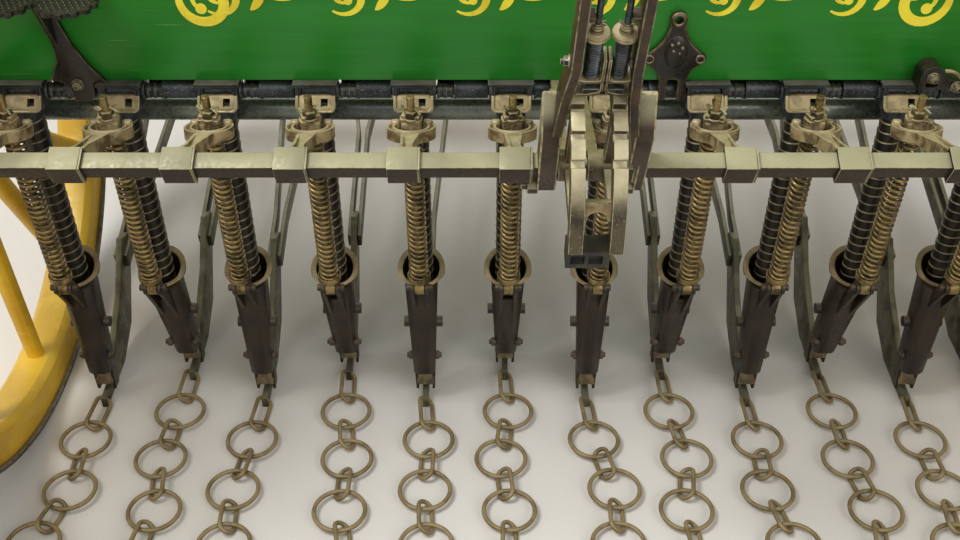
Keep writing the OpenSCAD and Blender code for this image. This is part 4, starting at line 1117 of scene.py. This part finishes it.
def feed_shaft():
    """The turning feed shaft with its couplings."""
    xs = rows_mm()
    shaft = rod("X", 8, xs[0] - CUP_HALF - 6, FEED_END, FEED_AT)
    coupling = union(rod("X", 11, 1, 26, FEED_AT), *[rod("X", 13, x, x + 4, FEED_AT, 8) for x in (1, 12, 23)])
    places = [at(x + CUP_HALF) for i, x in enumerate(xs[:-1]) if i != len(xs) // 2 - 1]
    cast("feed_shaft_couplings", [(shaft, ["cup_iron"], 0, [at()]), (coupling, CUP, 0.7, places)],
         "feed", "feed_shaft")


def shaft_cover():
    """The speckled tubes round the feed shaft and the thin wall under the board, between each two cups."""
    xs = rows_mm()
    y, z = FEED_AT
    forms = []
    for i, x in enumerate(xs[:-1]):
        start, stop = x + CUP_HALF + 1, xs[i + 1] - CUP_HALF - 1
        # The middle bay has no coupling, and leaves room for the stand's stem
        for a, b in ((start, -17), (17, stop)) if i == len(xs) // 2 - 1 else ((start + 27, stop),):
            tube = cut(union(rod("X", 14.8, a, b, (y, z + 3), 40), rod("X", 16.2, a, a + 3, (y, z + 3), 40)),
                       rod("X", 11.6, a - 1, b + 1, FEED_AT, 40))
            forms.append((tube, ["speckled_iron", "cup_edge"], 0.5, [at()]))
        forms.append((block((start, y + 16, z - 8), (stop, y + 19, BOX_LOW)), CUP, 0.5, [at()]))
    cast("feed_shaft_cover", forms, "root")


def step():
    """The foot step: a flared leg on the rear board and a tread of two scalloped lobes with raised bumps."""
    foot_x, tread_x, tread_z = -727, -765, BOX_LOW + 150
    lobe_x, lobe_y, lobe_r = 46, -56, 46
    leg = [(-49, 150), (-49, 118), (-47, 73), (-46, 37), (-61, 3), (-46, 0), (-36, -9), (-31, -33),
           (-12, -33), (2, -26), (3, 0), (24, 0), (2, 29), (-17, 64), (-29, 101), (-34, 122), (-34, 150)]
    leg_form = slab("Y", [(foot_x + x, BOX_LOW + z) for x, z in leg], BOARD_Y - 9, BOARD_Y)
    rib = slab("X", [(BOARD_Y - 8, BOX_LOW + 60), (BOARD_Y - 8, tread_z), (BOARD_Y - 60, tread_z)],
               foot_x - 45, foot_x - 38)
    tread = union(*[rod("Z", lobe_r, tread_z, tread_z + 7, (s * lobe_x, lobe_y), 60) for s in (-1, 1)],
                  block((-80, lobe_y, tread_z), (80, 0, tread_z + 7)))
    bites = []
    for s in (-1, 1):
        for a in range(-160, 37, 28):
            turn = math.radians(a if s > 0 else 180 - a)
            bites.append(rod("Z", 7, tread_z - 5, tread_z + 15,
                             (s * lobe_x + 47 * math.cos(turn), lobe_y + 47 * math.sin(turn)), 16))
    tread = cut(tread, *bites)
    bumps = []
    for j in range(10):
        for k in range(19):
            x, y = -82 + 9 * k + 4.5 * (j % 2), -96 + 9 * j
            on_lobe = any(math.hypot(x - s * lobe_x, y - lobe_y) < 37 for s in (-1, 1))
            if y < -6 and (on_lobe or abs(x) < 74 and y > -52):
                bumps.append(at(tread_x + x, BOARD_Y + y, tread_z + 6.6))
    bump = spun([(0, 0), (2.9, 0), (2.4, 1.3), (1.2, 2.1), (0, 2.4)], sides=10)
    cast("step_cast", [
        (leg_form, BLACK, 2, [at()]),
        (rib, BLACK, 1.5, [at()]),
        (tread, BLACK, 1.4, [at(tread_x, BOARD_Y, 0)]),
        (bump, ["black_paint"], 0, bumps),
        (nut_form(7), FASTENING, 0.7, [at(foot_x - 21, BOARD_Y - 9, BOX_LOW - 2) @ about("X", 90)]),
    ], "root", "step")


def nut_form(radius):
    """A nut on its washer with the bolt's end, along Z."""
    return union(rod("Z", radius * 1.35, 0, 2), slab("Z", disc(radius, sides=6), 1.5, radius + 1.5),
                 rod("Z", radius * 0.52, radius, radius * 1.75))


def spade_bracket():
    """A trefoil bracket on the rear board: hollow knob, two ringed ears and two short legs."""
    half = [(12, 100), (13, 90), (17, 78), (23, 67), (31, 58), (39, 51), (45, 46), (47, 40), (44, 32),
            (37, 27), (29, 21), (24, 12), (22, 2), (21, -32), (8, -32), (8, 2), (0, 6)]
    outline = half + [(-x, z) for x, z in reversed(half[:-1])]
    plate = slab("Y", [(x, BOX_LOW + z) for x, z in outline], BOARD_Y - 8, BOARD_Y)
    swell = moved(spun([(0, 0), (19, 0), (18, 1.2), (14, 3.6), (8, 5.4), (0, 6)], sides=28),
                  at(0, BOARD_Y - 7, BOX_LOW + 52), about("X", 90), Matrix.Diagonal((1, 1.5, 1, 1)))
    knob = spun([(5, 0), (5, 7), (6.5, 11), (9.5, 12), (12.5, 9), (13, 0)], sides=32)
    ear = spun([(3.4, 0), (3.4, 7), (5, 10.5), (7.2, 10.5), (9.2, 7), (9.5, 0)], sides=28)
    rivet = spun([(0, 0), (2.6, 0), (2, 1.8), (0, 2.6)], sides=10)
    here = at(173)
    knob_at, ears_at, rivets_at = [
        [here @ at(x, y, BOX_LOW + z) @ about("X", 90) for x, z in spots]
        for y, spots in ((BOARD_Y, [(0, 105)]), (BOARD_Y, [(-39, 40), (39, 40)]),
                         (BOARD_Y - 12, [(-7, 66), (2, 69), (9, 61), (-4, 56), (5, 52)]))]
    cast("spade_bracket_cast", [
        (plate, BLACK, 3, [here], 35, 3),
        (swell, ["black_paint"], 0, [here], 60),
        (knob, ["black_paint", "rim_iron"], 1.2, knob_at),
        (ear, ["black_paint", "rim_iron"], 1.0, ears_at),
        (rivet, ["worn_edge"], 0, rivets_at),
    ], "root", "spade_bracket")


def index_bracket():
    """A domed index casting on the rear board with a recess below its round cap."""
    foot = BOX_LOW + 6
    y = BOARD_Y
    cap = union(rod("Y", 18, y - 34, y, (-21, foot + 16), 40), block((-39, y - 34, foot), (-3, y, foot + 16)))
    base = slab("Y", [(-39, foot - 6), (34, foot - 6), (30, foot + 5), (-4, foot + 14), (-39, foot + 14)],
                y - 30, y)
    body = cut(union(cap, base), block((-30, y - 36, foot - 1), (-12, y - 20, foot + 7)))
    crest = cut(spun([(24, 0), (28, 0), (28, 6), (24, 6)], -20, 100), block((-60, -60, 20), (60, 60, 30)))
    crest = moved(crest, at(2, y - 24, foot - 2), about("X", 90))
    here = at(585)
    nuts = [here @ at(*point) @ about("X", 90)
            for point in ((-21, y - 34, foot + 16), (20, y - 30, foot - 1))]
    cast("index_bracket_cast", [
        (body, ["black_paint", "pale_edge"], 2.2, [here], 35, 3),
        (crest, ARM, 1, [here]),
        (nut_form(7), FASTENING, 0.6, nuts),
    ], "root", "index_bracket")


# The openers' funnels, their bodies' foot and top, and the pins of the pressure rods
FUNNEL_Y, NECK_Z, MOUTH_Z = -40, 286, 311
FOOT_Z, FOOT_HALF, TOP_HALF = 22, 17.5, 28.5
ROD_PIN = (-104, 318)


def boot_body(foot_y, inset):
    """A boot's tapering body; a cone rounds its corners."""
    low, high = FOOT_Z - 2 * inset, NECK_Z + 2 * inset
    foot, neck = 24 - inset, 30 - inset
    side = slab("X", [(foot_y - foot, low), (foot_y + foot, low), (FUNNEL_Y + neck, high),
                      (FUNNEL_Y - neck, high)], -60, 60)
    foot, neck = FOOT_HALF - inset, TOP_HALF - inset
    front = slab("Y", [(-foot, low), (foot, low), (neck, high), (-neck, high)], -200, 200)
    tall = NECK_Z - FOOT_Z
    lean = math.degrees(math.atan((foot_y - FUNNEL_Y) / tall))
    cone = moved(spun([(0, 0), (24 - inset, 0), (35 - inset, tall + 60), (0, tall + 60)], sides=40),
                 at(0, foot_y, FOOT_Z), about("X", lean), at(0, 0, -30))
    return shared(side, front, cone)


def mouth_cut(top, depth):
    """A block whose upper face is the boot's sloping mouth."""
    return moved(block((-60, -80, top - depth), (60, 80, top)), at(0, FUNNEL_Y, MOUTH_Z), about("X", 25))


def boot_forms(foot_y):
    """A boot's forms with their finishes and roundings: body, rim, deflector, studs and pin."""
    neck = at(0, FUNNEL_Y, NECK_Z)
    shell = shared(moved(spun([(0, -4), (28, -4), (29, 0), (35.5, 18), (35.5, 60), (0, 60)]), neck),
                   mouth_cut(0, 80))
    hollow = [(0, -30), (25, -30), (25, 0), (32.5, 18), (32.5, 61), (0, 61)]
    ear = [(-116, 318), (-92, 319), (FUNNEL_Y - 22, 262), (FUNNEL_Y - 10, 212)]
    ears = []
    for x in (-12, 12):
        ears += [rod("X", 12, x - 3, x + 3, ROD_PIN), slab("X", ear, x - 3, x + 3)]
    middle = (foot_y + FUNNEL_Y) / 2
    stud = (middle - 8, 112)
    body = union(boot_body(foot_y, 0), shell, *ears, rod("X", 10, -35, 35, (middle + 6, 182)))
    inner = shared(boot_body(foot_y, 5), block((-60, -200, 0), (60, 200, NECK_Z - 4)))
    body = cut(body, inner, moved(spun(hollow), neck),
               block((-40, foot_y - 60, FOOT_Z - 1), (40, foot_y - 6, FOOT_Z + 55)))
    rim = shared(moved(spun([(0, 1), (29, 1), (42, 18), (42, 60), (0, 60)]), neck), mouth_cut(9, 13),
                 mouth_cut(0.5, 80))
    rim = cut(rim, moved(spun(hollow), neck))
    deflector = slab("X", [(foot_y + 14, 86), (foot_y + 18, 86), (foot_y - 8, 38), (foot_y - 12, 38)],
                     -16, 16)
    studs = union(rod("X", 5, -32, 32, stud), *[slab("X", disc(8.5, stud, 6), x, x + 8) for x in (-28, 20)])
    return [(body, BOOT, 1.6), (rim, ["rim_iron"], 1.2), (deflector, ["rim_iron"], 0.8), (studs, BOOT, 0.7),
            (rod("X", 6, -23, 23, ROD_PIN), BOOT, 0.8)]


def boots(side):
    """The openers' boots: sloped mouths with wide rims, ears for the rods, lugs, studs and deflectors."""
    heel_half = 12
    forms = []
    for front in (False, True):
        rows = [i for i in side_rows(side) if is_front(i) == front]
        foot_y = (heel_y(rows[0]) - AXLE.y) / MM + heel_half
        forms += [(*form, [at(row_x(i) / MM) for i in rows]) for form in boot_forms(foot_y)]
    cast("boots_" + side + "_cast", forms, "gang_" + side, "boots_" + side)


# Ornament

def stroke(parts, path, widths, front, back):
    """A painted stroke on the rear board along a path of (x, z), tapering by its widths."""
    last = len(path) - 1
    points = []
    for k, (x, z) in enumerate(path):
        ahead, behind = path[min(k + 1, last)], path[max(k - 1, 0)]
        dx, dz = ahead[0] - behind[0], ahead[1] - behind[1]
        half = widths[k] / 2 / math.hypot(dx, dz)
        nx, nz = -dz * half, dx * half
        points += [(x + nx, front, z + nz), (x - nx, front, z - nz),
                   (x - nx, back, z - nz), (x + nx, back, z + nz)]
    faces = [[3, 2, 1, 0], [4 * last + j for j in range(4)]]
    for k in range(0, 4 * last, 4):
        faces += [[k + j, k + (j + 1) % 4, k + 4 + (j + 1) % 4, k + 4 + j] for j in range(4)]
    parts.add(points, faces)


def curl(parts, centre, flip, angles, radii, widths, steps, front, back):
    """A tapering curl that winds in from one angle and radius to another and ends in a ball."""
    end, swell, rate, ball = widths
    path = []
    thick = []
    for j in range(steps + 1):
        share = j / steps
        a = math.radians(angles[0] + (angles[1] - angles[0]) * share)
        r = radii[0] + (radii[1] - radii[0]) * share
        path.append((centre[0] + flip * r * math.cos(a), centre[1] + r * math.sin(a)))
        thick.append(end + swell * math.sin(math.pi * min(share * rate, 1)) + 2 * share)
    stroke(parts, path, thick, front, back)
    parts.add(*prism("Y", disc(ball, path[-1], 24), front - 0.1, back))


def ornament():
    """Painted scrollwork on the rear board: a running scroll with leaves and a curl at both ends."""
    front, back = BOARD_Y - 0.5, BOARD_Y + 0.3
    middle, period, swing = 852, 186, 26
    reach = 3 * period
    steps = 180
    parts = Parts()
    xs = [-reach + 2 * reach * k / steps for k in range(steps + 1)]
    stroke(parts, [(x, middle + swing * math.sin(2 * math.pi * x / period)) for x in xs],
           [7 + 4 * abs(math.cos(2 * math.pi * x / period)) for x in xs], front, back)
    for k in range(12):
        x = -reach + period / 4 + k * period / 2
        up = 1 if math.sin(2 * math.pi * x / period) > 0 else -1
        # The curl hangs in its bay, away from the vine's crest
        curl(parts, (x, middle - up * 22), 1, (230 * up, 660 * up), (31, 8.68), (3, 9.5, 1.15, 6.5), 32,
             front - 0.15, back)
        leaf = [(x + up * 44 + 3 * j, middle - up * (44 - 30 * (j / 8) ** 1.3)) for j in range(9)]
        stroke(parts, leaf, [2 + 11 * math.sin(math.pi * j / 8) for j in range(9)], front - 0.2, back)
    for s in (-1, 1):
        curl(parts, (s * (reach - 24), 822), s, (100, -420), (44, 14.08), (4, 11, 1.1, 8.5), 40,
             front - 0.3, back)
    form = parts.form()
    form.data.materials.append(FINISHES["ornament"])
    piece = gathered("board_ornament", [(form, [at()])])
    hand_over(rounded(piece, 0, 30), "root")


# Stage

def stage():
    scene = bpy.context.scene
    reach = 40.0
    corners = [(-reach, -reach, 0), (reach, -reach, 0), (reach, reach, 0), (-reach, reach, 0)]
    mesh = bpy.data.meshes.new("floor")
    mesh.from_pydata(corners, [], [(0, 1, 2, 3)])
    floor = placed("floor", mesh)
    material, tree, shader = blank_material("floor_paper", 0.9)
    give(tree, shader, {"Base Color": rgba("#ebe8e1")})
    floor.data.materials.append(material)

    world = bpy.data.worlds.new("studio")
    scene.world = world
    world.use_nodes = True
    tree = world.node_tree
    tree.nodes.clear()
    path = add(tree, "ShaderNodeLightPath").outputs
    seen = worked(tree, path["Is Camera Ray"], "MAXIMUM", path["Is Glossy Ray"])
    soft = add(tree, "ShaderNodeBackground", {"Color": rgba("#f3f0ea"), "Strength": 0.55}, 0)
    white = add(tree, "ShaderNodeBackground", {"Color": (1, 1, 1, 1), "Strength": 1.0}, 0)
    both = add(tree, "ShaderNodeMixShader", {0: seen, 1: soft, 2: white}, 0)
    add(tree, "ShaderNodeOutputWorld", {"Surface": both})

    for name, place, aim, size, power in (("key", (-2.2, AXLE.y - 0.8, 4.2), (0, AXLE.y, 0.4), 1.6, 120),
                                          ("fill", (2.6, AXLE.y - 3.4, 3.0), (0, AXLE.y, 0.5), 2.6, 45)):
        light = bpy.data.lights.new(name, "AREA")
        light.energy = power
        light.size = size
        lamp = placed(name, light)
        lamp.location = place
        lamp.rotation_euler = (Vector(aim) - Vector(place)).to_track_quat("-Z", "Y").to_euler()

    camera = bpy.data.cameras.new("camera")
    camera.lens = 43.65
    camera.sensor_width = 36
    camera.clip_end = 200
    eye = placed("camera", camera)
    eye.location = (-0.125, AXLE.y - 1.664, 1.566)
    eye.rotation_euler = (math.radians(52.2), 0, 0)
    scene.camera = eye
    scene.view_settings.view_transform = "Standard"


# Operators

class DRILL_OT_stage(bpy.types.Operator):
    """Adds the floor, the lamps and the camera"""
    bl_idname = "drill.stage"
    bl_label = "Stage"

    def execute(self, context):
        stage()
        return {"FINISHED"}


class DRILL_OT_finishes(bpy.types.Operator):
    """Makes the procedural finishes of the drill's woods, irons and paints"""
    bl_idname = "drill.finishes"
    bl_label = "Finishes"

    def execute(self, context):
        make_finishes()
        return {"FINISHED"}


class DRILL_OT_solids(bpy.types.Operator):
    """Rounds the solids' edges and gives them their finishes"""
    bl_idname = "drill.solids"
    bl_label = "Solids"

    def execute(self, context):
        dress_solids()
        return {"FINISHED"}


class DRILL_OT_springs(bpy.types.Operator):
    """Winds the pressure springs on their rods"""
    bl_idname = "drill.springs"
    bl_label = "Pressure springs"

    def execute(self, context):
        tree = coil_tree()
        for side in SIDES:
            coil_springs(side, tree)
        return {"FINISHED"}


class DRILL_OT_tubes(bpy.types.Operator):
    """Winds the ribbon steel seed tubes from the cups to the funnels"""
    bl_idname = "drill.tubes"
    bl_label = "Seed tubes"

    def execute(self, context):
        for side in SIDES:
            seed_tubes(side)
        return {"FINISHED"}


class DRILL_OT_chains(bpy.types.Operator):
    """Lays the cover chains behind the openers"""
    bl_idname = "drill.chains"
    bl_label = "Cover chains"

    def execute(self, context):
        tree = chain_tree()
        for side in SIDES:
            cover_chains(side, tree)
        return {"FINISHED"}


class DRILL_OT_levers(bpy.types.Operator):
    """Casts the lift levers, their latches and their stand"""
    bl_idname = "drill.levers"
    bl_label = "Levers"

    def execute(self, context):
        for side in SIDES:
            lever(side)
            latch(side)
        lever_stand()
        return {"FINISHED"}


class DRILL_OT_arms(bpy.types.Operator):
    """Casts the lift arms with their forks, sleeves, swivels and nuts"""
    bl_idname = "drill.arms"
    bl_label = "Lift arms"

    def execute(self, context):
        for side in SIDES:
            lift_arms(side)
            swivels(side)
        return {"FINISHED"}


class DRILL_OT_feed(bpy.types.Operator):
    """Casts the feed cups, the feed shaft and its covers"""
    bl_idname = "drill.feed"
    bl_label = "Feed"

    def execute(self, context):
        feed_cups()
        feed_shaft()
        shaft_cover()
        return {"FINISHED"}


class DRILL_OT_brackets(bpy.types.Operator):
    """Casts the step, the trefoil bracket and the index casting of the rear board"""
    bl_idname = "drill.brackets"
    bl_label = "Step and brackets"

    def execute(self, context):
        step()
        spade_bracket()
        index_bracket()
        return {"FINISHED"}


class DRILL_OT_boots(bpy.types.Operator):
    """Casts the openers' boots"""
    bl_idname = "drill.boots"
    bl_label = "Boots"

    def execute(self, context):
        for side in SIDES:
            boots(side)
        return {"FINISHED"}


class DRILL_OT_ornament(bpy.types.Operator):
    """Paints the scrollwork on the rear board"""
    bl_idname = "drill.ornament"
    bl_label = "Ornament"

    def execute(self, context):
        ornament()
        return {"FINISHED"}


OPERATORS = (DRILL_OT_stage, DRILL_OT_finishes, DRILL_OT_solids, DRILL_OT_levers, DRILL_OT_arms,
             DRILL_OT_feed, DRILL_OT_brackets, DRILL_OT_boots, DRILL_OT_ornament, DRILL_OT_springs,
             DRILL_OT_tubes, DRILL_OT_chains)


class DRILL_PT_panel(bpy.types.Panel):
    """Lists the drill's sizes, colours and steps"""
    bl_label = "Grain Drill"
    bl_space_type = "VIEW_3D"
    bl_region_type = "UI"
    bl_category = "Grain Drill"

    def draw(self, context):
        for group in (context.scene.drill_sizes, context.scene.drill_colours):
            box = self.layout.box()
            for key in group.bl_rna.properties.keys():
                if key not in ("rna_type", "name"):
                    box.prop(group, key)
        for operator in OPERATORS:
            self.layout.operator(operator.bl_idname)


CLASSES = (DrillSizes, DrillColours, *OPERATORS, DRILL_PT_panel)


def register():
    for cls in CLASSES:
        bpy.utils.register_class(cls)
    bpy.types.Scene.drill_sizes = PointerProperty(type=DrillSizes)
    bpy.types.Scene.drill_colours = PointerProperty(type=DrillColours)


def unregister():
    del bpy.types.Scene.drill_colours
    del bpy.types.Scene.drill_sizes
    for cls in reversed(CLASSES):
        bpy.utils.unregister_class(cls)


def main():
    register()
    for operator in OPERATORS:
        group, name = operator.bl_idname.split(".")
        getattr(getattr(bpy.ops, group), name)()


if __name__ == "__main__":
    main()
